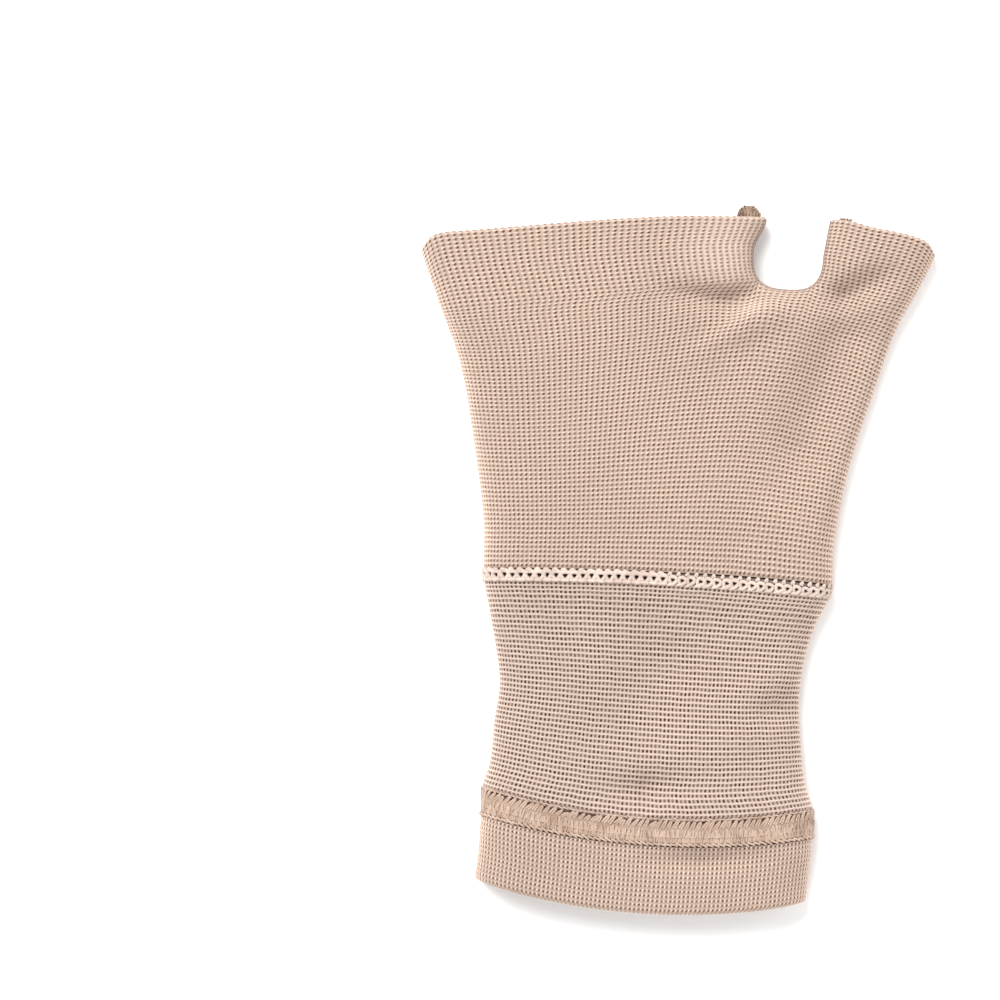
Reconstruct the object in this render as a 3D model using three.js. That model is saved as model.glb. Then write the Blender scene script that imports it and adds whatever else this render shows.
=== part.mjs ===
// Wrist and thumb brace: an elastic knit sleeve lying flat and empty on a table.
// Millimetres. +Y runs from the wrist opening to the fingers, +X to the thumb, +Z up,
// and the cloth under the sleeve lies at z = 0.
import * as THREE from 'three';

// Knit walls, and the air between pieces that are sewn together
const PALM_WALL = 1.2;
const WRIST_WALL = 1.0;
const CUFF_WALL = 2.3;
const GAP = 0.3;

// Rounding of the sleeve where its two layers fold into each other
const UNDER_FOLD = 3.2;
const UPPER_FOLD = 10;

// The sleeve's outline, a row for each section from the wrist hem to the finger edge.
// left and right are the folded sides, bow is how far the knit rows arch at the middle,
// and crown is the height of the upper layer.
const SECTIONS = [
  { y: -67.0, left: -32.0, right: 34.5, bow: -3.7, crown: 9.6 },
  { y: -61.0, left: -31.6, right: 34.7, bow: -3.7, crown: 10.0 },
  { y: -54.0, left: -31.7, right: 35.1, bow: -3.6, crown: 10.6 },
  { y: -48.5, left: -31.9, right: 34.8, bow: -3.9, crown: 10.6 },
  { y: -43.0, left: -30.6, right: 32.7, bow: -3.0, crown: 9.8 },
  { y: -35.0, left: -30.3, right: 31.3, bow: -1.8, crown: 9.4 },
  { y: -27.0, left: -29.8, right: 30.4, bow: -0.8, crown: 9.2 },
  { y: -19.0, left: -31.2, right: 30.9, bow: 0.0, crown: 9.4 },
  { y: -12.0, left: -32.9, right: 32.6, bow: 0.6, crown: 9.8 },
  { y: -5.5, left: -34.4, right: 35.2, bow: 0.9, crown: 10.2 },
  { y: 5.0, left: -35.2, right: 35.1, bow: 1.0, crown: 10.2 },
  { y: 21.0, left: -38.3, right: 37.2, bow: 1.5, crown: 10.2 },
  { y: 36.5, left: -42.2, right: 41.1, bow: 2.0, crown: 10.0 },
  { y: 48.3, left: -47.3, right: 44.4, bow: 2.5, crown: 9.8 },
  { y: 58.0, left: -51.4, right: 48.9, bow: 3.0, crown: 9.4 },
  { y: 64.0, left: -53.6, right: 51.4, bow: 3.5, crown: 9.2 },
];

// Shallow folds and dents of the upper layer, each along a line from one end to the other
const DENTS = [
  { x1: -2, y1: 52.8, x2: 19, y2: 52.6, depth: 1.0, width: 2.6 },
  { x1: 19, y1: 53.5, x2: 9, y2: 43.0, depth: -0.5, width: 4.0 },
  { x1: 33, y1: 59.0, x2: 46, y2: 58.5, depth: 0.7, width: 2.4 },
  { x1: -8, y1: -42.6, x2: 16, y2: -42.2, depth: 0.5, width: 3.5 },
];

// Joining seam between the palm sleeve and the wrist sleeve
const JOIN_TOP = -3.75;
const JOIN_FOOT = -6.9;
const JOIN_PROUD = 0.45;
const JOIN_ROUND = 0.7;
// The wrist sleeve reaches this far up inside the palm sleeve, and eases back out below
const LAP = 2.5;
const LAP_EASE = 6;
// Knit rows of the wrist sleeve between its two seams
const WRIST_ROWS = [-9.0, -11.0, -13.5, -20.0, -27.0, -35.0, -43.2, -45.0, -46.7];

// Overlocked seam between the wrist sleeve and the cuff
const OVERLOCK_TOP = -48.2;
const OVERLOCK_FOOT = -53.7;
const OVERLOCK_THICK = 1.5;
const OVERLOCK_ROUND = 0.8;
const OVERLOCK_EASE = 5;
// Rope of needle thread along the foot of the overlocking
const ROPE_WIDTH = 1.2;
const ROPE_PROUD = 0.2;

// Cuff, tucked in a little under the overlocking and folded round at its hem
const CUFF_TOP = OVERLOCK_FOOT - GAP;
const CUFF_HEM = -67.0;
const CUFF_TUCK = 0.3;
const CUFF_TUCK_RUN = 2.3;
const HEM_STEPS = 4;

// U-shaped thumb web between the finger opening and the thumb opening
const WEB = { middle: 22.0, shoulder: 62.5, half: 6.95, depth: 7.15, power: 2.9 };
const WEB_FINGER_LEAN = 2.15;
const WEB_THUMB_LEAN = 0.85;
const WEB_ARC_SHARE = 0.47;

// Rims of the two upper openings, from the folded side to the thumb web
const FINGER_RIM = [
  { x: -51.4, y: 58.0 },
  { x: -49.8, y: 60.3 },
  { x: -46.8, y: 61.5 },
  { x: -39.9, y: 62.5 },
  { x: -16.1, y: 66.1 },
  { x: -0.2, y: 68.0 },
  { x: 11.8, y: 68.7 },
  { x: 17.2, y: 69.0 },
];
const THUMB_RIM = [
  { x: 29.8, y: 69.5 },
  { x: 33.0, y: 69.5 },
  { x: 37.9, y: 68.5 },
  { x: 44.0, y: 67.7 },
  { x: 47.6, y: 66.9 },
  { x: 49.9, y: 65.9 },
  { x: 51.4, y: 64.0 },
];
// Where the knit row that touches the foot of the web meets the two folded sides
const WEB_ROW_LEFT = 46.2;
const WEB_ROW_RIGHT = 53.5;

// Bound seam inside the web
const BINDING_INSET = 2.9;
const BINDING_RADIUS = 1.05;
const BINDING_SIDES = 8;
const FINGER_TAIL = [
  { past: 0.4, half: 1.1 },
  { past: 0.9, half: 2.3 },
  { past: 1.5, half: 1.9 },
  { past: 1.75, half: 0.9 },
];
const THUMB_TAIL = [
  { past: 0.3, half: 1.05 },
  { past: 0.7, half: 0.6 },
];

// Fineness of the faceting
const RING_COLUMNS = 26;
const FINGER_COLUMNS = 18;
const WEB_COLUMNS = 8;
const THUMB_COLUMNS = 12;
const PALM_ROWS = 11;
const RIM_ROWS = 9;
const WEB_SAMPLES = 48;
const BINDING_STEP = 6;

// Colours of the yarns
const PALM_BEIGE = 0xe3c9b3;
const WRIST_BEIGE = 0xe6cdbd;
const CUFF_BEIGE = 0xddc2aa;
const CHAIN_CREAM = 0xf0decb;
const OVERLOCK_TAN = 0xd9b897;
const BINDING_TAN = 0xcfae94;

const mix = (a, b, t) => a + (b - a) * t;
const smooth = (t) => t * t * (3 - 2 * t);
const clamp01 = (t) => Math.min(1, Math.max(0, t));
// Fractions from 0 to 1 that crowd towards both ends
const crowd = (t) => 0.5 - 0.5 * Math.cos(Math.PI * t);

// Smooth value of one column of the section table at height y along the sleeve
function section(column, y) {
  const last = SECTIONS.length - 1;
  let k = SECTIONS.findIndex((row) => row.y > y) - 1;
  if (k === -2) k = last - 1;
  k = Math.max(0, k);
  const slope = (i) => {
    const a = SECTIONS[Math.max(0, i - 1)];
    const b = SECTIONS[Math.min(last, i + 1)];
    return (b[column] - a[column]) / (b.y - a.y);
  };
  const from = SECTIONS[k];
  const to = SECTIONS[k + 1];
  const run = to.y - from.y;
  const t = (y - from.y) / run;
  const bend = smooth(t);
  const lead = slope(k) * run * t * (1 - t) ** 2;
  const trail = slope(k + 1) * run * t * t * (t - 1);
  return mix(from[column], to[column], bend) + lead + trail;
}

// Rise of a rounded fold at a distance from its edge: 0 at the edge, 1 past its run
function roundFold(distance, run) {
  const rest = 1 - clamp01(distance / run);
  return Math.sqrt(1 - rest * rest);
}

function distanceToLine(x, y, line) {
  const dx = line.x2 - line.x1;
  const dy = line.y2 - line.y1;
  const along = ((x - line.x1) * dx + (y - line.y1) * dy) / (dx * dx + dy * dy);
  const t = clamp01(along);
  return Math.hypot(x - line.x1 - dx * t, y - line.y1 - dy * t);
}

// Heights of the lower and upper layer at a place whose distances to the folds are known
function layerHeights(x, y, folds) {
  let upper = 1;
  let under = 1;
  for (const distance of folds) {
    upper *= roundFold(distance, UPPER_FOLD);
    under *= roundFold(distance, UNDER_FOLD);
  }
  const crown = section('crown', y);
  let top = UNDER_FOLD + (crown - UNDER_FOLD) * upper;
  for (const dent of DENTS) {
    const near = distanceToLine(x, y, dent) / dent.width;
    top -= dent.depth * upper * Math.exp(-near * near);
  }
  return { bottom: UNDER_FOLD * (1 - under), top };
}

// The web's U: side is -1 towards the fingers and 1 towards the thumb.
// An angle of 0 is at the shoulder of that side and a right angle at the foot.
function webArc(side, angle) {
  const across = Math.cos(angle) ** (2 / WEB.power);
  const down = Math.sin(angle) ** (2 / WEB.power);
  const x = WEB.middle + side * WEB.half * across;
  return new THREE.Vector2(x, WEB.shoulder - WEB.depth * down);
}

// One side of the U from its lower corner, t = 0, up to the rim, t = 1
function webSide(side, t) {
  if (t < WEB_ARC_SHARE) return webArc(side, (Math.PI / 4) * (1 - t / WEB_ARC_SHARE));
  const up = (t - WEB_ARC_SHARE) / (1 - WEB_ARC_SHARE);
  const tip = side < 0 ? FINGER_RIM.at(-1) : THUMB_RIM[0];
  const lean = side < 0 ? WEB_FINGER_LEAN * smooth(up) : WEB_THUMB_LEAN * up;
  const x = WEB.middle + side * WEB.half + lean;
  return new THREE.Vector2(x, mix(WEB.shoulder, tip.y, up));
}

// The foot of the U between its two lower corners
function webFoot(t) {
  const angle = Math.PI / 4 + (Math.PI / 2) * t;
  return angle < Math.PI / 2 ? webArc(-1, angle) : webArc(1, Math.PI - angle);
}

// The whole U as a line of points from the finger rim to the thumb rim
function webLine(samples) {
  const points = [];
  for (let i = 0; i < samples; i += 1) points.push(webSide(-1, 1 - i / samples));
  for (let i = 0; i < samples; i += 1) points.push(webFoot(i / samples));
  for (let i = 0; i <= samples; i += 1) points.push(webSide(1, i / samples));
  return points;
}

const WEB_LINE = webLine(WEB_SAMPLES);

function distanceToWeb(x, y) {
  let nearest = Infinity;
  for (let i = 1; i < WEB_LINE.length; i += 1) {
    const a = WEB_LINE[i - 1];
    const b = WEB_LINE[i];
    nearest = Math.min(nearest, distanceToLine(x, y, { x1: a.x, y1: a.y, x2: b.x, y2: b.y }));
  }
  return nearest;
}

function geometryOf(points, triangles) {
  const geometry = new THREE.BufferGeometry();
  const flat = points.flatMap((p) => [p.x, p.y, p.z]);
  geometry.setAttribute('position', new THREE.Float32BufferAttribute(flat, 3));
  geometry.setIndex(triangles);
  geometry.computeVertexNormals();
  return geometry;
}

// Gives an open surface a wall on its inner side and closes the wall along the open edges
function thicken(points, triangles, wall) {
  const normals = geometryOf(points, triangles).getAttribute('normal');
  const count = points.length;
  const inner = points.map((p, i) => {
    const normal = new THREE.Vector3().fromBufferAttribute(normals, i);
    return p.clone().addScaledVector(normal, -wall);
  });
  const faces = [...triangles];
  const edges = new Set();
  for (let i = 0; i < triangles.length; i += 3) {
    const [a, b, c] = triangles.slice(i, i + 3);
    faces.push(a + count, c + count, b + count);
    edges.add(`${a},${b}`).add(`${b},${c}`).add(`${c},${a}`);
  }
  for (const edge of edges) {
    const [a, b] = edge.split(',').map(Number);
    if (!edges.has(`${b},${a}`)) faces.push(b, a, a + count, b, a + count, b + count);
  }
  return geometryOf([...points, ...inner], faces);
}

// A place inside four boundary lines: s runs from left to right and t from bottom to top
function patch(s, t, bottom, top, left, right, corners) {
  const level = bottom.clone().lerp(top, t);
  const across = left.clone().lerp(right, s);
  const low = corners.lowLeft.clone().lerp(corners.lowRight, s);
  const high = corners.highLeft.clone().lerp(corners.highRight, s);
  return level.add(across).sub(low.lerp(high, t));
}

function foldPoint(side, y) {
  return new THREE.Vector2(section(side, y), y);
}

// The palm sleeve's plan as a grid of knit rows and columns around the web
function palmPlan() {
  const columns = FINGER_COLUMNS + WEB_COLUMNS + THUMB_COLUMNS;
  const webLeft = FINGER_COLUMNS;
  const webRight = FINGER_COLUMNS + WEB_COLUMNS;
  const rows = PALM_ROWS + RIM_ROWS;
  const foot = JOIN_TOP + GAP;
  const footBow = section('bow', foot);
  const hemPoint = (u) => {
    const x = mix(section('left', foot), section('right', foot), u);
    return new THREE.Vector2(x, foot + footBow * 4 * u * (1 - u));
  };
  const webRow = [];
  for (let i = 0; i <= columns; i += 1) {
    if (i < webLeft) {
      const start = foldPoint('left', WEB_ROW_LEFT);
      webRow.push(start.lerp(webSide(-1, 0), crowd(i / FINGER_COLUMNS)));
    } else if (i <= webRight) {
      webRow.push(webFoot((i - webLeft) / WEB_COLUMNS));
    } else {
      const end = foldPoint('right', WEB_ROW_RIGHT);
      webRow.push(webSide(1, 0).lerp(end, crowd((i - webRight) / THUMB_COLUMNS)));
    }
  }
  const fingerRim = new THREE.SplineCurve(FINGER_RIM.map((p) => new THREE.Vector2(p.x, p.y)));
  const thumbRim = new THREE.SplineCurve(THUMB_RIM.map((p) => new THREE.Vector2(p.x, p.y)));
  const plan = new Map();
  const place = (i, j, point) => plan.set(`${i},${j}`, point);
  for (let j = 0; j <= PALM_ROWS; j += 1) {
    const t = 1 - (1 - j / PALM_ROWS) ** 2;
    const left = foldPoint('left', mix(foot, WEB_ROW_LEFT, t));
    const right = foldPoint('right', mix(foot, WEB_ROW_RIGHT, t));
    for (let i = 0; i <= columns; i += 1) {
      const s = crowd(i / columns);
      const corners = {
        lowLeft: hemPoint(0), lowRight: hemPoint(1), highLeft: webRow[0], highRight: webRow[columns],
      };
      place(i, j, patch(s, t, hemPoint(s), webRow[i], left, right, corners));
    }
  }
  for (let j = PALM_ROWS + 1; j <= rows; j += 1) {
    const t = (j - PALM_ROWS) / RIM_ROWS;
    for (let i = 0; i <= webLeft; i += 1) {
      const s = crowd(i / FINGER_COLUMNS);
      const corners = {
        lowLeft: webRow[0], lowRight: webRow[webLeft],
        highLeft: fingerRim.getPointAt(0), highRight: fingerRim.getPointAt(1),
      };
      const left = foldPoint('left', mix(WEB_ROW_LEFT, FINGER_RIM[0].y, t));
      place(i, j, patch(s, t, webRow[i], fingerRim.getPointAt(s), left, webSide(-1, t), corners));
    }
    for (let i = webRight; i <= columns; i += 1) {
      const s = crowd((i - webRight) / THUMB_COLUMNS);
      const corners = {
        lowLeft: webRow[webRight], lowRight: webRow[columns],
        highLeft: thumbRim.getPointAt(0), highRight: thumbRim.getPointAt(1),
      };
      const right = foldPoint('right', mix(WEB_ROW_RIGHT, THUMB_RIM.at(-1).y, t));
      place(i, j, patch(s, t, webRow[i], thumbRim.getPointAt(s), webSide(1, t), right, corners));
    }
  }
  const inWeb = (i) => i >= webLeft && i <= webRight;
  const isFold = (i, j) => {
    if (i === 0 || i === columns) return true;
    return inWeb(i) && j >= PALM_ROWS;
  };
  const isOpen = (i, j) => i >= webLeft && i < webRight && j >= PALM_ROWS;
  return { columns, rows, plan, isFold, isOpen };
}

// Both layers of the palm sleeve, meeting along the folded sides and along the web
function palmSleeve() {
  const { columns, rows, plan, isFold, isOpen } = palmPlan();
  const points = [];
  const upper = new Map();
  const under = new Map();
  for (const [key, { x, y }] of plan) {
    const [i, j] = key.split(',').map(Number);
    const fromLeft = Math.max(0, x - section('left', y));
    const fromRight = Math.max(0, section('right', y) - x);
    const folds = [fromLeft, fromRight, distanceToWeb(x, y)];
    const { bottom, top } = layerHeights(x, y, folds);
    const fold = isFold(i, j);
    upper.set(key, points.length);
    points.push(new THREE.Vector3(x, y, fold ? UNDER_FOLD : top));
    under.set(key, fold ? points.length - 1 : points.length);
    if (!fold) points.push(new THREE.Vector3(x, y, bottom));
  }
  const triangles = [];
  for (let j = 0; j < rows; j += 1) {
    for (let i = 0; i < columns; i += 1) {
      if (isOpen(i, j)) continue;
      const keys = [`${i},${j}`, `${i + 1},${j}`, `${i + 1},${j + 1}`, `${i},${j + 1}`];
      const [a, b, c, d] = keys.map((key) => upper.get(key));
      triangles.push(a, b, c, a, c, d);
      const [e, f, g, h] = keys.map((key) => under.get(key));
      triangles.push(e, g, f, e, h, g);
    }
  }
  return thicken(points, triangles, PALM_WALL);
}

// One loop round the sleeve at a section, moved out from the sleeve's outline by a distance.
// The underside stays pressed against the table.
function loopAround(y, out) {
  const left = section('left', y);
  const right = section('right', y);
  const bow = section('bow', y);
  const base = [];
  const addPoint = (u, isTop) => {
    const x = mix(left, right, u);
    const rowY = y + bow * 4 * u * (1 - u);
    const { bottom, top } = layerHeights(x, rowY, [x - left, right - x]);
    base.push(new THREE.Vector3(x, rowY, isTop ? top : bottom));
  };
  for (let i = 0; i < RING_COLUMNS; i += 1) addPoint(crowd(i / RING_COLUMNS), false);
  for (let i = RING_COLUMNS; i > 0; i -= 1) addPoint(crowd(i / RING_COLUMNS), true);
  return base.map((point, i) => {
    const before = base.at(i - 1);
    const after = base[(i + 1) % base.length];
    const turn = Math.hypot(after.x - before.x, after.z - before.z);
    const x = point.x + (out * (after.z - before.z)) / turn;
    const z = point.z - (out * (after.x - before.x)) / turn;
    return new THREE.Vector3(x, point.y, Math.max(0, z));
  });
}

// A closed ring round the sleeve whose wall section is the profile's closed line
function ringBody(profile) {
  const loops = profile.map(({ y, out }) => loopAround(y, out));
  const size = loops[0].length;
  const triangles = [];
  for (let k = 0; k < loops.length; k += 1) {
    const next = (k + 1) % loops.length;
    for (let i = 0; i < size; i += 1) {
      const step = (i + 1) % size;
      const a = k * size + i;
      const b = k * size + step;
      const c = next * size + step;
      const d = next * size + i;
      triangles.push(a, b, c, a, c, d);
    }
  }
  return geometryOf(loops.flat(), triangles);
}

// How far the wrist sleeve lies inside the outline: under both seams, and not between them
function wristInset(y) {
  const underPalm = PALM_WALL + GAP;
  const underOverlock = OVERLOCK_THICK + GAP;
  const above = smooth(clamp01((y - JOIN_FOOT) / LAP_EASE + 1));
  const below = smooth(clamp01((OVERLOCK_TOP - y) / OVERLOCK_EASE + 1));
  return underPalm * above + underOverlock * below;
}

function wristSleeve() {
  const rows = [
    JOIN_TOP + LAP, JOIN_TOP, JOIN_FOOT, ...WRIST_ROWS, OVERLOCK_TOP, OVERLOCK_FOOT,
  ];
  const outer = rows.map((y) => ({ y, out: -wristInset(y) }));
  const inner = rows.map((y) => ({ y, out: -wristInset(y) - WRIST_WALL }));
  return ringBody([...outer, ...inner.reverse()]);
}

function joiningSeam() {
  return ringBody([
    { y: JOIN_TOP, out: -PALM_WALL },
    { y: JOIN_TOP, out: -JOIN_PROUD },
    { y: JOIN_TOP - JOIN_ROUND, out: JOIN_PROUD },
    { y: (JOIN_TOP + JOIN_FOOT) / 2, out: JOIN_PROUD },
    { y: JOIN_FOOT + JOIN_ROUND, out: JOIN_PROUD },
    { y: JOIN_FOOT, out: -JOIN_PROUD },
    { y: JOIN_FOOT, out: -PALM_WALL },
  ]);
}

function cuffSeam() {
  return ringBody([
    { y: OVERLOCK_TOP, out: -OVERLOCK_THICK },
    { y: OVERLOCK_TOP, out: -OVERLOCK_ROUND },
    { y: OVERLOCK_TOP - OVERLOCK_ROUND, out: 0 },
    { y: OVERLOCK_FOOT + ROPE_WIDTH, out: 0 },
    { y: OVERLOCK_FOOT + ROPE_WIDTH / 2, out: ROPE_PROUD },
    { y: OVERLOCK_FOOT, out: -OVERLOCK_ROUND / 2 },
    { y: OVERLOCK_FOOT, out: -OVERLOCK_THICK },
  ]);
}

function cuff() {
  const round = CUFF_WALL / 2;
  const middle = (CUFF_TOP + CUFF_HEM) / 2;
  const hem = [];
  for (let k = 0; k <= HEM_STEPS; k += 1) {
    const angle = (Math.PI * k) / HEM_STEPS;
    const y = CUFF_HEM + round * (1 - Math.sin(angle));
    hem.push({ y, out: round * (Math.cos(angle) - 1) });
  }
  return ringBody([
    { y: CUFF_TOP, out: -CUFF_TUCK - CUFF_WALL },
    { y: CUFF_TOP, out: -CUFF_TUCK },
    { y: CUFF_TOP - CUFF_TUCK_RUN / 2, out: -CUFF_TUCK / 2 },
    { y: CUFF_TOP - CUFF_TUCK_RUN, out: 0 },
    { y: middle, out: 0 },
    ...hem,
    { y: middle, out: -CUFF_WALL },
  ]);
}

// The bound seam follows the U inside the fold, and its two ends stand past the rims
function webSeam() {
  const stations = [];
  for (let i = 0; i < WEB_LINE.length; i += BINDING_STEP) {
    const before = WEB_LINE[Math.max(0, i - 1)];
    const after = WEB_LINE[Math.min(WEB_LINE.length - 1, i + 1)];
    const along = after.clone().sub(before).normalize();
    const side = new THREE.Vector2(along.y, -along.x);
    const centre = WEB_LINE[i].clone().addScaledVector(side, BINDING_INSET);
    stations.push({ centre, side, half: BINDING_RADIUS });
  }
  const addTail = (end, heading, tail) => tail.map(({ past, half }) => {
    const centre = end.centre.clone().addScaledVector(heading, past);
    return { centre, side: end.side, half };
  });
  const up = new THREE.Vector2(0, 1);
  const fingerTail = addTail(stations[0], up, FINGER_TAIL).reverse();
  const thumbTail = addTail(stations.at(-1), up, THUMB_TAIL);
  const route = [...fingerTail, ...stations, ...thumbTail];
  const points = [];
  for (const { centre, side, half } of route) {
    const thick = Math.min(half, BINDING_RADIUS);
    for (let k = 0; k < BINDING_SIDES; k += 1) {
      const angle = (2 * Math.PI * k) / BINDING_SIDES;
      const across = side.clone().multiplyScalar(half * Math.cos(angle));
      const z = UNDER_FOLD + thick * Math.sin(angle);
      points.push(new THREE.Vector3(centre.x + across.x, centre.y + across.y, z));
    }
  }
  const triangles = [];
  for (let j = 0; j + 1 < route.length; j += 1) {
    for (let k = 0; k < BINDING_SIDES; k += 1) {
      const step = (k + 1) % BINDING_SIDES;
      const a = j * BINDING_SIDES + k;
      const b = j * BINDING_SIDES + step;
      triangles.push(a, b + BINDING_SIDES, b, a, a + BINDING_SIDES, b + BINDING_SIDES);
    }
  }
  const last = (route.length - 1) * BINDING_SIDES;
  for (let k = 1; k + 1 < BINDING_SIDES; k += 1) {
    triangles.push(0, k, k + 1);
    triangles.push(last, last + k + 1, last + k);
  }
  return geometryOf(points, triangles);
}

function piece(name, geometry, color, roughness) {
  const material = new THREE.MeshStandardMaterial({ color, roughness, metalness: 0 });
  const mesh = new THREE.Mesh(geometry, material);
  mesh.name = name;
  return mesh;
}

const brace = new THREE.Group();
brace.add(piece('palm_sleeve', palmSleeve(), PALM_BEIGE, 0.9));
brace.add(piece('wrist_sleeve', wristSleeve(), WRIST_BEIGE, 0.9));
brace.add(piece('cuff', cuff(), CUFF_BEIGE, 0.9));
brace.add(piece('joining_seam', joiningSeam(), CHAIN_CREAM, 0.8));
brace.add(piece('cuff_seam', cuffSeam(), OVERLOCK_TAN, 0.85));
brace.add(piece('thumb_web_seam', webSeam(), BINDING_TAN, 0.85));

export default brace;
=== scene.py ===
# Wrist and thumb brace: an elastic knit sleeve that lies flat and empty on a table.
# Metres. +Y runs from the wrist opening to the fingers, +X to the thumb and +Z up.
import math

import bpy
import numpy as np
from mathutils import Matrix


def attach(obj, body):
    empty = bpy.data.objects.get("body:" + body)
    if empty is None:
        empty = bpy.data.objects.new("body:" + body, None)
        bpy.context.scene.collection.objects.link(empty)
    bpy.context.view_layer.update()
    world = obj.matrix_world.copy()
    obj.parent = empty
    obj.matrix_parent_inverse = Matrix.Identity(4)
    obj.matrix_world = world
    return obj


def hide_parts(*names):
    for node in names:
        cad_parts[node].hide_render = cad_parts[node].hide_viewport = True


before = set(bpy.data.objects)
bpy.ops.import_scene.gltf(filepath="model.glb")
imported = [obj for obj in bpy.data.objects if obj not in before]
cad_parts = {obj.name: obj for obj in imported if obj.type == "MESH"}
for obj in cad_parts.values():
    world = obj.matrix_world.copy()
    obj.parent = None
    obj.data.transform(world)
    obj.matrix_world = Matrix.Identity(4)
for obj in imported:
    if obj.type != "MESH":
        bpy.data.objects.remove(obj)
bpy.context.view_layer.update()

# Palm sleeve
# A flared tube of elastic knit round the palm, one wall thick and pressed flat. It is knitted
# in the round, so the same wales run from the joining seam to the rims and spread on the way.
# Above, it parts into a finger opening and a thumb opening round a U-shaped web.

# The sleeve's outline, a row for each section from the wrist hem to the finger edge
Y, LEFT, RIGHT, BOW, LEAN, CROWN = range(6)
OUTLINE = np.array([
    # y, left fold, right fold, bow of the knit rows, their rise to the right, height of the upper layer
    (-0.0670, -0.0320, 0.0345, -0.0042, 0.0000, 0.0096),
    (-0.0610, -0.0316, 0.0347, -0.0039, 0.0000, 0.0100),
    (-0.0540, -0.0317, 0.0351, -0.0036, 0.0000, 0.0106),
    (-0.0485, -0.0319, 0.0348, -0.0039, 0.0000, 0.0106),
    (-0.0430, -0.0306, 0.0327, -0.0030, 0.0000, 0.0098),
    (-0.0350, -0.0303, 0.0313, -0.0018, 0.0000, 0.0088),
    (-0.0270, -0.0298, 0.0304, -0.0008, 0.0003, 0.0085),
    (-0.0190, -0.0312, 0.0309, 0.0000, 0.0007, 0.0086),
    (-0.0120, -0.0329, 0.0326, 0.0007, 0.0011, 0.0091),
    (-0.0055, -0.0344, 0.0352, 0.0010, 0.0013, 0.0102),
    (0.0050, -0.0352, 0.0351, 0.0010, 0.0013, 0.0102),
    (0.0210, -0.0383, 0.0372, 0.0015, 0.0010, 0.0102),
    (0.0365, -0.0422, 0.0411, 0.0020, 0.0006, 0.0100),
    (0.0483, -0.0473, 0.0444, 0.0025, 0.0000, 0.0098),
    (0.0580, -0.0514, 0.0489, 0.0030, 0.0000, 0.0094),
    (0.0640, -0.0536, 0.0514, 0.0035, 0.0000, 0.0092),
])
UNDER_FOLD = 0.0032
UPPER_FOLD = 0.0100
# Creases and swellings of the upper layer: width, then x, y and depth along each
CREASES = (
    (0.0025, ((0.0158, 0.0537, 0.0028), (0.0095, 0.0520, 0.0030),
              (0.0025, 0.0524, 0.0017), (-0.0060, 0.0530, 0.0))),
    (0.0030, ((0.0290, 0.0548, 0.0022), (0.0335, 0.0550, 0.0044),
              (0.0390, 0.0576, 0.0030), (0.0455, 0.0610, 0.0))),
    (0.0042, ((0.0135, 0.0592, -0.0010), (0.0000, 0.0592, -0.0004))),
    (0.0032, ((0.0196, 0.0508, -0.0026), (0.0072, 0.0418, -0.0006))),
    (0.0017, ((0.0186, 0.0522, -0.0010), (0.0085, 0.0442, -0.0009), (0.0045, 0.0404, 0.0))),
    (0.0032, ((0.0115, 0.0490, 0.0010), (0.0035, 0.0425, 0.0004))),
    (0.0075, ((0.0345, 0.0455, 0.0056), (0.0280, 0.0240, 0.0046), (0.0225, 0.0090, 0.0))),
    (0.0037, ((-0.0085, -0.0476, 0.0009), (0.0008, -0.0468, 0.0034), (0.0100, -0.0440, 0.0007))),
    (0.0060, ((0.0080, -0.0410, -0.0008), (0.0190, -0.0335, -0.0014))),
    (0.0032, ((0.0190, -0.0312, 0.0004), (0.0265, -0.0285, 0.0017), (0.0300, -0.0272, 0.0013))),
    (0.0042, ((0.0140, -0.0300, -0.0003), (0.0230, -0.0245, -0.0011), (0.0290, -0.0212, -0.0011))),
    (0.0090, ((0.0096, -0.0139, 0.0010), (0.0047, -0.0217, 0.0023),
              (-0.0030, -0.0335, 0.0012), (-0.0045, -0.0372, 0.0))),
    (0.0022, ((0.0020, -0.0606, 0.0006), (0.0130, -0.0600, 0.0018), (0.0260, -0.0582, 0.0006))),
)

# The web's U and the rims of the two openings
WEB_MIDDLE = 0.0220
WEB_SHOULDER = 0.0625
WEB_HALF = 0.00695
WEB_DEPTH = 0.00715
WEB_POWER = 2.9
WEB_FINGER_LEAN = 0.00215
WEB_THUMB_LEAN = 0.00085
WEB_ARC_SHARE = 0.47
FINGER_RIM = (
    (-0.0514, 0.0580), (-0.0498, 0.0603), (-0.0468, 0.0615), (-0.0399, 0.0625),
    (-0.0161, 0.0661), (-0.0002, 0.0680), (0.0118, 0.0687), (0.0172, 0.0690),
)
THUMB_RIM = (
    (0.0298, 0.0695), (0.0330, 0.0695), (0.0379, 0.0685), (0.0440, 0.0677),
    (0.0476, 0.0669), (0.0499, 0.0659), (0.0514, 0.0640),
)
# Where the knit row that touches the foot of the web meets the two folded sides
WEB_ROW_LEFT = 0.0462
WEB_ROW_RIGHT = 0.0535

PALM_HEM = -0.0038
# The hem stands clear of the chain past the middle, where the chain is looser
HEM_LIFT = 0.0002
HEM_LIFT_SHARES = (0.50, 0.75)
PALM_WALL = 0.0012
# How far the rims are rounded, and the share of that by which each wale stands out
RIM_ROUND = 0.0004
RIM_SCALLOP = 0.2
# Wales of the finger part, the web and the thumb part, and courses below and beside the web
UPPER_WALES = (54, 9, 21)
UNDER_WALES = (53, 9, 18)
PALM_COURSES = 63
RIM_COURSES = 18
COURSE_EASE = 0.13
# Share of the courses that run straight across, and how late the others bend to the web
CALM_SHARE = 0.5
BEND_POWER = 2.5
# The last courses below the web, which are less and less smoothed sideways
SMOOTHED_COURSES = 4
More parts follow.
